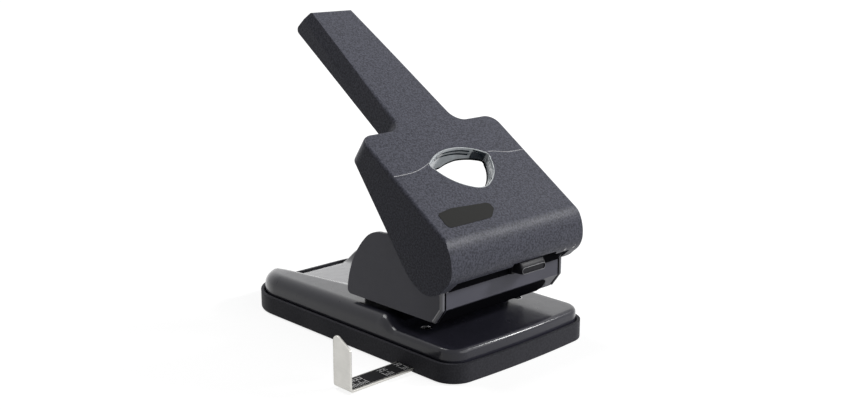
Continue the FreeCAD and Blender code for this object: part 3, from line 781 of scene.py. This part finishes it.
def arc_through(first: Point, middle: Point, last: Point, count: int) -> list[Point]:
    """Points along the circle through three points, from the first up to but not at the last.

    Args:
        first: Where the arc starts.
        middle: Any point on it.
        last: Where it ends.
        count: How many points to give.

    Returns:
        The points.
    """
    (ax, ay), (bx, by), (cx, cy) = first, middle, last
    twice = 2 * (ax * (by - cy) + bx * (cy - ay) + cx * (ay - by))
    squares = [x * x + y * y for x, y in (first, middle, last)]
    ux = (squares[0] * (by - cy) + squares[1] * (cy - ay) + squares[2] * (ay - by)) / twice
    uy = (squares[0] * (cx - bx) + squares[1] * (ax - cx) + squares[2] * (bx - ax)) / twice
    radius = math.hypot(ax - ux, ay - uy)
    begin, through, end = (math.atan2(y - uy, x - ux) for x, y in (first, middle, last))
    sweep = (end - begin) % math.tau
    if (through - begin) % math.tau > sweep:
        sweep -= math.tau
    return [polar(ux, uy, radius, begin + sweep * share) for share in steps(0.0, 1.0, count)]


@dataclass(frozen=True)
class Incline:
    """The handle's own axes: across, along the slope from the pivot and up from the slope."""

    pivot_y: float = -79.1
    pivot_z: float = 67.05
    slope: float = math.radians(34.2)

    def place(self, across: float, along: float, up: float) -> Vector:
        """Point of the punch at a place given in the handle's axes.

        Args:
            across: Distance to the punch's right.
            along: Distance up the slope from the pivot.
            up: Distance square to the slope.

        Returns:
            The place in the punch's own axes.
        """
        return Vector((across,
                       self.pivot_y + along * math.cos(self.slope) - up * math.sin(self.slope),
                       self.pivot_z + along * math.sin(self.slope) + up * math.cos(self.slope)))


INCLINE = Incline()
NOSE_ARC: tuple[Point, Point, Point] = ((-17.4, -1.2), (-17.6, 3.2), (-15.3, 9.6))


# ---------------------------------------------------------------- base

@dataclass
class PressedCover:
    """Enamelled steel cover of the base: front table, step, deck and the dish behind."""

    half_width: float = 57.75
    front: float = -99.5
    rear: float = 99.5
    front_corner: float = 12.5
    rear_corner: float = 31.0
    bow: float = 1.5
    skirt: float = 5.4
    table: float = 19.8
    deck_front: float = 26.4
    deck_rear: float = 24.2
    deck_end: float = 112.5
    step_foot: float = -51.2
    step_head: float = -34.1
    step_span: Point = (-54.5, -30.0)
    sheet: float = 1.4
    table_edge: float = 3.0
    deck_edge: float = 8.0
    edge_share: float = 0.45
    end_fall: float = 2.2
    end_start: float = 70.0
    dish_half: float = 27.5
    dish_start: float = 3.5
    dish_reach: float = 10.0
    dish_blends: Place = (0.5, 4.0, 5.0)
    dish_toe: float = 93.0
    dish_head_level: float = 26.9
    dish_floor_level: float = 13.0
    dish_lip_level: float = 11.0
    hole_spots: tuple[Point, ...] = ((-40.0, -58.9), (40.0, -58.9))
    hole_radius: float = 3.55
    hole_levels: Point = (10.0, 30.0)
    spine: Point = (-54.5, 68.0)
    collar: float = 9.0
    hem: float = 1.0
    columns: tuple[tuple[float, float, int], ...] = ((47.25, 44.0, 2), (44.0, 22.0, 24), (22.0, 3.0, 12))
    last_column: float = 1.5

    def outline(self) -> list[tuple[Point, Point]]:
        """Outer outline from above, each point with its outward direction.

        Returns:
            The points and their directions, counter-clockwise from the front left.
        """
        half, front, rear = self.half_width, self.front_corner, self.rear_corner
        path: list[tuple[Point, Point]] = []
        reach = half - front
        for x in steps(-reach, reach, 40):
            slope = 2 * self.bow * x / reach ** 2
            size = math.hypot(slope, 1.0)
            path.append(((x, self.front - self.bow * (1 - (x / reach) ** 2)), (slope / size, -1 / size)))
        path += self.corner(reach, self.front + front, front, -90.0, 16)
        before, after = self.step_span
        side = (steps(self.front + front, before, 16) + steps(before, after, 28)
                + steps(after, self.rear - rear, 60))
        path += [((half, y), (1.0, 0.0)) for y in side]
        path += self.corner(half - rear, self.rear - rear, rear, 0.0, 44)
        path += [((x, self.rear), (0.0, 1.0)) for x in steps(half - rear, rear - half, 36)]
        path += self.corner(rear - half, self.rear - rear, rear, 90.0, 44)
        path += [((-half, y), (-1.0, 0.0)) for y in reversed(side[1:] + [self.rear - rear])]
        path += self.corner(-reach, self.front + front, front, 180.0, 16)
        return path

    @staticmethod
    def corner(x: float, y: float, radius: float, start: float, count: int) -> list[tuple[Point, Point]]:
        """Quarter circle of the outline, with outward directions."""
        return [(polar(x, y, radius, angle), polar(0.0, 0.0, 1.0, angle))
                for angle in turns(start, start + 90.0, count)]

    def climb(self, y: float) -> float:
        """Share of the way up the step, from 0 at its foot to 1 at its head."""
        return min(max((y - self.step_foot) / (self.step_head - self.step_foot), 0.0), 1.0)

    def level(self, x: float, y: float) -> float:
        """Height of the cover's top, before its outer edge is rounded.

        Args:
            x: Distance to the right.
            y: Distance to the rear.

        Returns:
            The height above the floor.
        """
        share = self.climb(y)
        rise = 2 * share * share if share < 0.5 else 1 - 2 * (1 - share) ** 2
        fall = max(y - self.step_head, 0.0) / (self.deck_end - self.step_head)
        deck = mixed(self.deck_front, self.deck_rear, fall)
        deck -= self.end_fall * (max(y - self.end_start, 0.0) / (self.rear - self.end_start)) ** 2
        top = mixed(self.table, deck, rise)
        if y < self.dish_start - self.dish_reach:
            return top
        slope = (self.dish_floor_level - self.dish_head_level) / (self.dish_toe - self.dish_start)
        ramp = self.dish_head_level + slope * (y - self.dish_start)
        toe = (self.dish_lip_level - self.dish_floor_level) / (self.rear - self.dish_toe)
        toe_blend, side_blend, rim_blend = self.dish_blends
        floor = lesser(ramp, self.dish_floor_level + toe * (y - self.dish_toe), toe_blend)
        return lesser(top, greater(floor, floor + abs(x) - self.dish_half, side_blend), rim_blend)

    def rounding(self, x: float, y: float) -> float:
        """Radius of the outer edge at a place on the outline."""
        wanted = mixed(self.table_edge, self.deck_edge, self.climb(y))
        return min(wanted, self.edge_share * (self.level(x, y) - self.skirt))

    def build(self) -> None:
        """Build the shell from rings: skirt, rounded edge and the top in to its spine."""
        path = self.outline()
        radii = [self.rounding(*spot) for spot, _ in path]

        def ring(share: float, drop: float = 0.0, extra: float = 0.0) -> list[Vector]:
            """Ring inside the outline.

            Args:
                share: Share of the edge's radius that it lies inside.
                drop: Share of that radius that it lies below the top.
                extra: Further depth inside, in millimetres.

            Returns:
                The ring's points.
            """
            places = []
            for ((x, y), (across, along)), radius in zip(path, radii):
                far = radius * share + extra
                inner = (x - across * far, y - along * far)
                places.append(Vector((*inner, self.level(*inner) - radius * drop)))
            return places

        skin = Skin()
        rows = [[Vector((x, y, z)) for (x, y), _ in path] for z in (self.skirt, self.skirt + self.hem)]
        rows += [ring(1 - math.cos(angle), 1 - math.sin(angle)) for angle in turns(0.0, 90.0, 9)]
        rows += [ring(1.0), ring(0.5, extra=self.collar / 2)]
        border = [Vector((x - across * self.collar, y - along * self.collar))
                  for (x, y), (across, along) in path]
        rows.append([Vector((*spot, self.level(*spot))) for spot in border])
        wide = self.half_width - self.collar
        for column in [x for span in self.columns for x in steps(*span)] + [self.last_column]:
            share = 1 - column / wide
            places = []
            for spot in border:
                middle = min(max(spot.y, self.spine[0]), self.spine[1])
                x, y = mixed(spot.x, 0.0, share), mixed(spot.y, middle, share)
                places.append(Vector((x, y, self.level(x, y))))
            rows.append(places)
        numbers = skin.loft(rows)
        self.close_spine(skin, numbers[-1])
        thing = skin.build("cover_pressing")
        self.thicken(thing)
        fit(thing, COVER_ENAMEL, "cover_enamel", "frame", "base_cover")

    def close_spine(self, skin: Skin, ring: list[int]) -> None:
        """Close the last ring along the middle of the cover, front to rear.

        Args:
            skin: The mesh in hand.
            ring: Numbers of the last ring's points.
        """
        order = sorted(ring, key=lambda number: skin.spots[number].y)
        left = [number for number in order if skin.spots[number].x < 0]
        right = [number for number in order if skin.spots[number].x >= 0]
        low, high = 0, 0
        while low < len(left) - 1 or high < len(right) - 1:
            step_left = high == len(right) - 1 or (
                low < len(left) - 1
                and skin.spots[left[low + 1]].y <= skin.spots[right[high + 1]].y)
            if step_left:
                skin.faces.append((left[low], left[low + 1], right[high]))
                low += 1
            else:
                skin.faces.append((left[low], right[high + 1], right[high]))
                high += 1

    def thicken(self, thing: bpy.types.Object) -> None:
        """Give the skin its sheet thickness and pierce the two die holes.

        Args:
            thing: The object that holds the skin.
        """
        solid = thing.modifiers.new("sheet", "SOLIDIFY")
        solid.thickness = self.sheet * MM
        solid.offset = -1.0
        skin = Skin()
        angles = steps(0.0, math.tau, 48)
        for x, y in self.hole_spots:
            skin.solid([[Vector((*polar(x, y, self.hole_radius, angle), z)) for angle in angles]
                        for z in self.hole_levels])
        punches = skin.build("hole_tools")
        pierce = thing.modifiers.new("die_holes", "BOOLEAN")
        pierce.operation = "DIFFERENCE"
        pierce.solver = "EXACT"
        pierce.object = punches
        settle(thing)
        bpy.data.objects.remove(punches)


# ---------------------------------------------------------------- handle

@dataclass
class WindowBezel:
    """Glossy moulded lining of the handle's window, with two slots in its rear wall."""

    top: float = 20.45
    bottoms: tuple[Point, ...] = ((-26.0, 5.2), (-3.0, 5.2), (1.0, 7.8), (7.6, 10.4), (17.0, 12.4),
                                  (23.0, 13.6), (26.0, 13.6))
    wall: float = 1.9
    dark_spans: tuple[tuple[Point, Point], ...] = (((16.8, 26.0), (54.0, 62.0)),
                                                   ((10.4, 13.6), (32.6, 35.6)))
    dark_depths: Point = (1.0, 2.0)
    slots: tuple[Point, ...] = ((19.0, 17.8), (16.3, 15.1))
    slot_depth: float = 1.0
    slot_reach: Point = (-14.0, 15.5)
    slot_start: float = 52.0
    slot_face: float = 1.15
    slot_shade: float = 1.28
    slot_lip: float = 0.05
    shade_margin: float = 0.1
    shade_drop: float = 0.5
    least_height: float = 0.3
    rim: tuple[Point, ...] = ((0.0, -0.5), (0.05, -0.15), (0.25, 0.0), (0.5, 0.02), (0.75, -0.15),
                              (0.9, -0.6), (1.0, -1.4))
    shade_edge_rear: float = 50.0
    shade_edge_side: Point = (10.0, 33.0)
    shade_edge: tuple[Point, ...] = ((0.02, 1.2), (0.14, 1.0), (0.14, -0.05), (-0.3, -0.12))
    corners: tuple[Point, ...] = ((0.0, 63.8), (12.5, 61.9), (23.2, 56.2), (25.4, 53.2), (24.2, 49.6),
                                  (18.8, 39.6), (8.6, 31.4), (4.6, 29.5), (0.0, 28.8))
    counts: tuple[int, ...] = (34, 12, 30, 12)

    def outline(self) -> list[Point]:
        """Window outline from above the slope, across and along, from the rear middle.

        Returns:
            The points of one turn round the window.
        """
        half = [spot for turn, count in enumerate(self.counts)
                for spot in arc_through(*self.corners[2 * turn:2 * turn + 3], count)]
        return half + [self.corners[-1]] + [(-x, along) for x, along in reversed(half[1:])]

    @staticmethod
    def inside(wall: tuple[Point, Vector], depth: float, level: float) -> Vector:
        """Point at a depth inside a point of the outline, at a level over the slope."""
        (x, along), normal = wall
        return INCLINE.place(x + normal.x * depth, along + normal.y * depth, level)

    def slotted(self, x: float, along: float) -> bool:
        """Whether the slots pass a point of the outline."""
        return along > self.slot_start and self.slot_reach[0] < x < self.slot_reach[1]

    def build(self) -> None:
        """Loft the lining round the window, its profile turned from outside over the rim and down."""
        path = self.outline()
        walls: list[tuple[Point, Vector]] = []
        for index, spot in enumerate(path):
            (ax, ay), (bx, by) = path[index - 1], path[(index + 1) % len(path)]
            run = Vector((bx - ax, by - ay)).normalized()
            walls.append((spot, Vector((run.y, -run.x))))
        profile = [(0.0, None)] + [(depth, self.top + rise) for depth, rise in self.rim]
        for high, low in self.slots:
            profile += [(1.1, high + self.slot_lip), (-1.0, high), (-1.0, low), (1.2, low - self.slot_lip)]
        profile += [(self.wall, None)]
        rows = []
        for depth, up in profile:
            row = []
            for wall in walls:
                x, along = wall[0]
                inset = depth
                if depth < 0:
                    inset = self.slot_face - (self.slot_depth if self.slotted(x, along) else 0.0)
                level = self.bottom(x)
                if up is not None:
                    level = max(up, level + self.least_height)
                row.append(self.inside(wall, inset, level))
            rows.append(row)
        skin = Skin()
        skin.hoop(rows)
        fit(skin.build("window_lining", 30.0), BEZEL_PLASTIC, "bezel_plastic", "handle", "window_bezel")
        start = path.index(self.corners[-1])
        self.build_shade_strips(walls[start:] + walls[:start])

    def bottom(self, across: float) -> float:
        """Level of the lining's lower edge, deeper towards the left.

        Args:
            across: Distance to the punch's right.

        Returns:
            The level in the handle's axes.
        """
        for (x0, low), (x1, high) in zip(self.bottoms, self.bottoms[1:]):
            if x0 <= across <= x1:
                return mixed(low, high, (across - x0) / (x1 - x0))
        raise ValueError("outside the window")

    def build_shade_strips(self, walls: list[tuple[Point, Vector]]) -> None:
        """Set dark gloss strips of painted shade in the lining's slots and on two darker stretches of its
        wall, and a black strip of painted shade along its lower edge.

        Args:
            walls: Points of the window's outline from its front middle, each with its inward direction.
        """
        def strip(skin: Skin, depths: Sequence[float], levels: Callable[[float], Sequence[float]],
                  wanted: Callable[[float, float], bool]) -> None:
            """Add one strip along the walls that are wanted."""
            skin.loft([[self.inside(wall, depth, level) for depth, level in zip(depths, levels(wall[0][0]))]
                       for wall in walls if wanted(*wall[0])], closed=False)

        shade_strips, shade_edge = Skin(), Skin()
        # Painted shade: dark strips on the wall's darker stretches and at the back of both slots.
        for (x_low, x_high), (a_low, a_high) in self.dark_spans:
            strip(shade_strips, self.dark_depths,
                  lambda x: (self.top - self.shade_drop, self.bottom(x) + self.shade_margin),
                  lambda x, along: x_low <= x <= x_high and a_low <= along <= a_high)
        for high, low in self.slots:
            strip(shade_strips, (self.slot_shade,) * 2,
                  lambda x: (high - self.shade_margin, low + self.shade_margin), self.slotted)
        # Black strip of painted shade along the lining's lower edge, at the rear and right.
        strip(shade_edge, [self.wall + depth for depth, _ in self.shade_edge],
              lambda x: [self.bottom(x) + rise for _, rise in self.shade_edge],
              lambda x, along: along > self.shade_edge_rear
              or (x > self.shade_edge_side[0] and along > self.shade_edge_side[1]))
        fit(shade_strips.build("lining_shade_strips", 30.0), SHADE_GLOSS, "bezel_plastic", "handle")
        fit(shade_edge.build("lining_shade_edge", 60.0), BLACK_AND_SHADE_PLASTIC, "bezel_plastic", "handle")


@dataclass
class CrestLine:
    """Fine raised line across the handle's top face, broken by the window, made pale as a painted highlight
    of the crease.
    """

    width: float = 0.5
    height: float = 0.16
    root: float = 0.05
    end: float = 57.0
    taper: float = 2.5
    top: float = 20.5
    left: tuple[Point, ...] = ((-55.9, 50.5), (-48.0, 50.45), (-41.4, 50.6), (-36.0, 51.5), (-31.7, 52.7),
                               (-27.5, 54.2), (-24.4, 55.4))
    right: tuple[Point, ...] = ((26.0, 55.3), (29.0, 54.9), (32.4, 54.2), (36.5, 52.9), (41.4, 51.8),
                                (48.0, 51.4), (55.9, 51.4))

    def build(self) -> None:
        """Build the line's two halves as one slim piece."""
        skin = Skin()
        for path in (self.left, self.right):
            rows = []
            for x, along in path:
                taper = min(1.0, (self.end - abs(x)) / self.taper)
                rise = self.height * taper
                rows.append([INCLINE.place(x, along + self.width / 2 * side, self.top + up)
                             for side, up in ((-1, -self.root), (-0.3, rise), (0.3, rise), (1, -self.root))])
            skin.solid(rows)
        fit(skin.build("crest_line", 60.0), CREST_HIGHLIGHT_PLASTIC, "handle_plastic", "handle")


@dataclass
class NoseMarks:
    """Two small padlock marks printed on the nose, one shut and one open."""

    marks: tuple[tuple[float, bool], ...] = ((43.0, True), (51.2, False))
    size: float = 1.9
    raised: float = 0.06
    foot: float = 2.4
    body_share: float = 0.75
    open_lift: float = 0.5
    gap: float = 0.1
    overrun: float = 0.4
    bow_shares: Point = (0.45, 0.75)

    def skin_point(self, across: float, up: float) -> Vector:
        """Point on the nose just above its lower edge, up being measured along the skin.

        Args:
            across: Distance to the punch's right.
            up: Distance up the skin from the lower edge.

        Returns:
            The place in the punch's own axes, just off the skin.
        """
        arc = arc_through(*NOSE_ARC, 60)
        walked = 0.0
        for (a0, b0), (a1, b1) in zip(arc, arc[1:]):
            run = math.hypot(a1 - a0, b1 - b0)
            if walked + run >= up:
                share = (up - walked) / run
                normal = Vector((-(b1 - b0), a1 - a0)) / run
                return INCLINE.place(across, mixed(a0, a1, share) + normal.x * self.raised,
                                     mixed(b0, b1, share) + normal.y * self.raised)
            walked += run
        raise ValueError("beyond the nose")

    def build(self) -> None:
        """Print both marks as one piece."""
        skin = Skin()
        for across, shut in self.marks:
            half, low, high = self.size / 2, self.foot, self.foot + self.size * self.body_share
            skin.loft([[self.skin_point(x, up) for x in steps(across - half, across + half + self.overrun, 5)]
                       for up in (low, (low + high) / 2, high)], closed=False)
            lift = 0.0 if shut else self.open_lift
            skin.loft([[self.skin_point(*polar(across + lift, high + lift + self.gap, half * share, angle))
                        for share in self.bow_shares] for angle in turns(0.0, 181.0, 9)], closed=False)
        fit(skin.build("lock_marks", 60.0), MARK_PRINT, "label_film", "handle")


@dataclass
class LockButton:
    """Slide button of the handle lock, a rounded block with a dished oval front."""

    left: float = 1.2
    right: float = 22.2
    low: float = 51.9
    face_high: float = 56.3
    front: float = -97.5
    corner: float = 2.1
    least_side: float = 0.01
    runner_low: Place = (0.2, -89.9, 51.0)
    runner_high: Place = (26.5, -87.5, 60.6)
    shank: tuple[tuple[float, float, float, float], ...] = (
        (-89.1, 0.0, 59.0, 0.6), (-95.2, 0.0, 59.0, 0.9), (-95.7, 0.05, 58.65, 1.2),
        (-96.9, 0.05, 57.0, 1.9))
    dish: tuple[Point, ...] = ((0.3, 0.05), (0.08, 0.15), (0.0, 0.35), (0.03, 0.62), (0.6, 0.75))
    rim: tuple[Point, ...] = ((0.10, 0.10), (-0.04, 0.26), (-0.06, 0.36), (-0.02, 0.48), (0.12, 0.62))

    def section(self, y: float, inset: float, high: float, corner: float) -> list[Vector]:
        """Rounded outline across the button.

        Args:
            y: Where the section lies.
            inset: How far it lies inside the button's full width and height.
            high: Top of the full height there.
            corner: Radius of its corners.

        Returns:
            The outline's points.
        """
        left, right, low = self.left + inset, self.right - inset, self.low + inset
        high -= inset
        corner = min(corner, (high - low) / 2 - self.least_side)
        centres = ((right - corner, high - corner, 0.0), (left + corner, high - corner, 90.0),
                   (left + corner, low + corner, 180.0), (right - corner, low + corner, 270.0))
        return [Vector((x + corner * math.cos(angle), y, z + corner * math.sin(angle)))
                for x, z, start in centres for angle in turns(start, start + 91.0, 7)]

    def face(self, profile: Sequence[Point]) -> list[list[Vector]]:
        """Sections of the oval front, from the depth and inset of each."""
        return [self.section(self.front + depth, inset, self.face_high, self.corner)
                for depth, inset in profile]

    def build(self) -> None:
        """Loft the button from its runner to the dished front, and its rim, made pale as a painted highlight.
        """
        skin, rim = Skin(), Skin()
        skin.solid([self.section(*station) for station in self.shank] + self.face(self.dish))
        skin.box(self.runner_low, self.runner_high)
        rim.hoop(self.face(self.rim))
        fit(skin.build("lock_button", 40.0), LOCK_PLASTIC, "lock_plastic", "lock", "lock_slide")
        fit(rim.build("button_rim", 60.0), RIM_HIGHLIGHT_PLASTIC, "lock_plastic", "lock")


@dataclass
class NoseTrim:
    """Rounded end of the lock's notch, and a black strip inside the nose that paints the shade in the gap
    between nose and panel.
    """

    notch_left: float = 35.6
    notch_right: float = 37.45
    notch_low: float = 57.3
    notch_high: float = 59.45
    patch_lift: float = 0.02
    patch_depth: float = 1.2
    strip_low: Place = (-49.0, -87.1, 50.5)
    strip_high: Place = (-8.1, -85.6, 58.0)

    def build(self) -> None:
        """Build the strip of painted shade and the notch's rounded end."""
        skin = Skin()
        # Black box set in the gap under the nose: painted shade, where the inside is only in shadow.
        skin.box(self.strip_low, self.strip_high)
        fit(skin.build("nose_shade_strip"), BLACK_AND_SHADE_PLASTIC, "black_plastic", "handle")
        self.build_notch_end()

    def build_notch_end(self) -> None:
        """Patch of the nose's skin that rounds the notch's right end."""
        skin = Skin()
        tall = self.notch_high - self.notch_low
        rows = []
        for along, up in arc_through(*NOSE_ARC, 160):
            spot = INCLINE.place(0.0, along, up)
            if self.notch_low <= spot.z <= self.notch_high:
                share = (spot.z - self.notch_low) / tall
                left = self.notch_left - tall * (1 - math.sqrt(max(1 - share ** 2, 0.0)))
                near, far = spot.y + self.patch_lift, spot.y + self.patch_depth
                rows.append([Vector((x, y, spot.z)) for x, y in (
                    (left, far), (left, near), (self.notch_right, near), (self.notch_right, far))])
        skin.solid(rows)
        fit(skin.build("notch_end"), HANDLE_PLASTIC, "handle_plastic", "handle")


# ---------------------------------------------------------------- bracket

@dataclass
class FoldBeads:
    """Rolled edges of the bracket's cheeks, painted lighter as a highlight and set off from the front panel
    by a black line of painted shade.
    """

    half: float = 51.3
    radius: float = 1.4
    front: float = -84.7
    top: float = 50.4
    middle: float = 45.0
    knee: float = 39.2
    knee_turn: tuple[Point, ...] = ((0.0, 0.6), (0.2, 0.0), (0.6, -0.5))
    chin_y: float = -78.2
    chin_z: float = 30.6
    gap: float = 0.9
    chin_left: float = -48.6
    chin_right: float = 40.0
    chin_drop: float = 0.4
    chin_foot: Point = (-77.9, 29.3)
    chin_lift: float = 0.12
    sunk: float = 0.7

    def path(self) -> list[Point]:
        """Line of a fold in side view, from its top down to the end of the chin.

        Returns:
            The points, each as its depth and height.
        """
        return [(self.front, self.top), (self.front, self.middle),
                *((self.front + y, self.knee + z) for y, z in self.knee_turn),
                (mixed(self.front, self.chin_y, 0.5), mixed(self.knee, self.chin_z, 0.5)),
                (self.chin_y, self.chin_z)]

    def build(self) -> None:
        """Build both rolled edges and both black lines of painted shade."""
        beads, lines = Skin(), Skin()
        path = self.path()
        angles = turns(-90.0, 151.0, 14)
        inner = self.half - self.radius
        line_section = ((inner - self.gap, 0.05), (inner - 0.5 * self.gap, 0.10), (inner + 0.2, 0.05))
        for side in (-1, 1):
            roll, line = [], []
            for index, (y, z) in enumerate(path):
                ahead = path[min(index + 1, len(path) - 1)]
                before = path[max(index - 1, 0)]
                run = Vector((ahead[0] - before[0], ahead[1] - before[1])).normalized()
                out = Vector((run.y, -run.x))
                roll.append([Vector((side * (self.half + self.radius * math.sin(angle)),
                                     y + out.x * self.radius * (math.cos(angle) - self.sunk),
                                     z + out.y * self.radius * (math.cos(angle) - self.sunk)))
                             for angle in angles])
                # Black line of painted shade in the crease between the fold and the panel.
                line.append([Vector((side * x, y + out.x * rise, z + out.y * rise))
                             for x, rise in line_section])
            beads.cap(beads.loft(roll, closed=False)[0])
            lines.loft(line, closed=False)
        fit(beads.build("fold_beads"), BEAD_HIGHLIGHT_ENAMEL, "bracket_enamel", "frame")
        fit(lines.build("fold_shade_lines"), BLACK_AND_SHADE_PLASTIC, "black_plastic", "frame")
        self.build_chin_shade()

    def build_chin_shade(self) -> None:
        """Black strip of painted shade and dark reflection on the slanted face under the front panel, with a
        rounded right end.
        """
        top, foot = Vector((self.front, self.knee - self.chin_drop)), Vector(self.chin_foot)
        drop = foot - top
        out = Vector((drop.y, -drop.x)).normalized() * self.chin_lift
        if out.x > 0:
            out.negate()
        corner = drop.length * 0.5
        skin = Skin()
        lines = []
        for share in steps(0.0, 1.0, 25):
            away = abs(share - 0.5) * drop.length
            reach = math.sqrt(max(corner ** 2 - away ** 2, 0.0))
            spot = top + drop * share + out
            lines.append([Vector((x, *spot)) for x in (self.chin_left, self.chin_right - corner + reach)])
        skin.loft(lines, closed=False)
        fit(skin.build("chin_shade"), BLACK_AND_SHADE_PLASTIC, "black_plastic", "frame")


# ---------------------------------------------------------------- return springs

@dataclass
class ReturnSpring:
    """Compression spring with closed ends."""

    word: str
    side: int
    across: float = 40.0
    along: float = -58.9
    low: float = 34.95
    high: float = 68.15
    radius: float = 4.25
    wire: float = 0.5
    turns: int = 9
    closed_pitch: float = 1.06
    travel: float = 16.2
    seat: float = 0.1
    turn_steps: int = 24
    wire_sides: int = 10

    def rise(self, turn: float) -> float:
        """Height of the wire's middle after a number of turns.

        Args:
            turn: Turns from the wire's lower end.

        Returns:
            The height above the floor.
        """
        length = self.high - self.low - 2 * self.wire
        open_pitch = (length - 2 * self.closed_pitch) / (self.turns - 2)
        closed = min(turn, 1.0) + max(turn - (self.turns - 1), 0.0)
        return self.low + self.wire + closed * self.closed_pitch + (turn - closed) * open_pitch

    def build(self) -> None:
        """Sweep the wire."""
        skin = Skin()
        rows = []
        for turn in steps(0.0, float(self.turns), self.turns * self.turn_steps + 1):
            angle = math.tau * turn
            row = []
            for around in steps(0.0, math.tau, self.wire_sides):
                reach = self.radius + self.wire * math.cos(around)
                row.append(Vector((self.side * (self.across + reach * math.cos(angle)),
                                   self.along + reach * math.sin(angle),
                                   self.rise(turn) + self.wire * math.sin(around))))
            rows.append(row)
        skin.solid(rows)
        thing = skin.build(f"coil_spring_{self.word}", 60.0)
        fit(thing, SPRING_STEEL, "spring_steel", "frame", f"return_spring_{self.word}")
        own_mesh(thing)


# ---------------------------------------------------------------- paper guide

@dataclass
class GuideRule:
    """Bent steel rule: a flat arm, a rounded bend and the upright flange with its slanted top."""

    face: float = -108.0
    end: float = 12.0
    under: float = 1.1
    gauge: float = 1.5
    bend: float = 2.3
    front: float = -69.5
    tops: tuple[Point, ...] = ((0.0, 25.8), (0.6, 26.6), (8.6, 31.2), (9.8, 31.8), (11.4, 32.0),
                               (13.0, 31.5), (14.2, 30.2), (14.7, 28.6))
    edge: float = 0.28
    edge_angle: float = 40.0

    def build(self) -> None:
        """Loft the rule's section along its bend, then break its edges."""
        ways = [across for across, _ in self.tops]
        centre = (self.face + self.bend, self.under + self.bend)
        path = [((self.end, self.under), (self.end, self.under + self.gauge)),
                ((centre[0], self.under), (centre[0], self.under + self.gauge))]
        inner = self.bend - self.gauge
        for angle in turns(255.0, 165.0, 6):
            path.append((polar(*centre, self.bend, angle), polar(*centre, inner, angle)))
        rows = [[Vector((outer[0], self.front + across, outer[1])) for across in ways]
                + [Vector((near[0], self.front + across, near[1])) for across in reversed(ways)]
                for outer, near in path]
        tops = dict(self.tops)
        rows.append([Vector((self.face, self.front + across, tops[across])) for across in ways]
                    + [Vector((self.face + self.gauge, self.front + across, tops[across]))
                       for across in reversed(ways)])
        skin = Skin()
        numbers = skin.loft(rows)
        half = len(ways)
        for ring in (numbers[0], numbers[-1]):
            for index in range(half - 1):
                skin.faces.append((ring[index], ring[index + 1], ring[-2 - index], ring[-1 - index]))
        thing = skin.build("bent_rule")
        bevel = thing.modifiers.new("broken_edges", "BEVEL")
        bevel.width = self.edge * MM
        bevel.segments = 2
        bevel.limit_method = "ANGLE"
        bevel.angle_limit = math.radians(self.edge_angle)
        settle(thing)
        fit(thing, GUIDE_STEEL, "guide_steel", "guide", "paper_guide")


@dataclass
class ScaleMarks:
    """Printed ticks on the paper guide's strip, in groups between plain stretches."""

    level: float = 2.83
    front: float = -68.1
    groups: tuple[Point, ...] = ((-104.6, -91.0), (-78.8, -72.0), (-65.6, -58.0), (-47.0, -39.0),
                                 (-28.0, -20.0))
    pitch: float = 1.3
    tick_width: float = 0.42
    tick_start: float = 0.8
    long_tick: float = 5.2
    short_tick: float = 3.0
    square_start: float = 7.2
    square: Point = (8.0, 9.4)
    line: Point = (10.0, 10.4)

    def build(self) -> None:
        """Print the ticks and the short bars beside them."""
        skin = Skin()
        near = self.front + self.tick_start
        for start, stop in self.groups:
            count = round((stop - start) / self.pitch)
            for index, x in enumerate(steps(start, stop, count)):
                length = self.short_tick if index % 3 else self.long_tick
                self.bar(skin, x, x + self.tick_width, near, near + length)
                high = self.square[index % 2]
                self.bar(skin, x + 0.1, x + 0.75, self.front + self.square_start, self.front + high)
            self.bar(skin, start, stop, *(self.front + edge for edge in self.line))
        fit(skin.build("scale_marks", 60.0), MARK_PRINT, "scale_film", "guide")

    def bar(self, skin: Skin, x0: float, x1: float, y0: float, y1: float) -> None:
        """Add one printed rectangle."""
        skin.cap(skin.row([Vector((x0, y0, self.level)), Vector((x1, y0, self.level)),
                           Vector((x1, y1, self.level)), Vector((x0, y1, self.level))]))


# ---------------------------------------------------------------- the punch

def dress_frame() -> None:
    """Give every node of the frame the finish of its own material slot."""
    for part in frame["record"]["subparts"]:
        dress(frame["nodes"][part["node"]], SLOT_FINISHES[part["material_slot"]])
    LOG.info("frame: %d nodes dressed", len(frame["nodes"]))


def main() -> None:
    """Build and dress the punch."""
    logging.basicConfig(level=logging.INFO, format="%(name)s: %(message)s")
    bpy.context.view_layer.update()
    Studio().build()
    dress_frame()
    for assembly in (PressedCover(), FoldBeads(), WindowBezel(), CrestLine(), NoseMarks(), LockButton(),
                     NoseTrim(), ReturnSpring("left", -1), ReturnSpring("right", 1), GuideRule(),
                     ScaleMarks()):
        assembly.build()


if __name__ == "__main__":
    main()
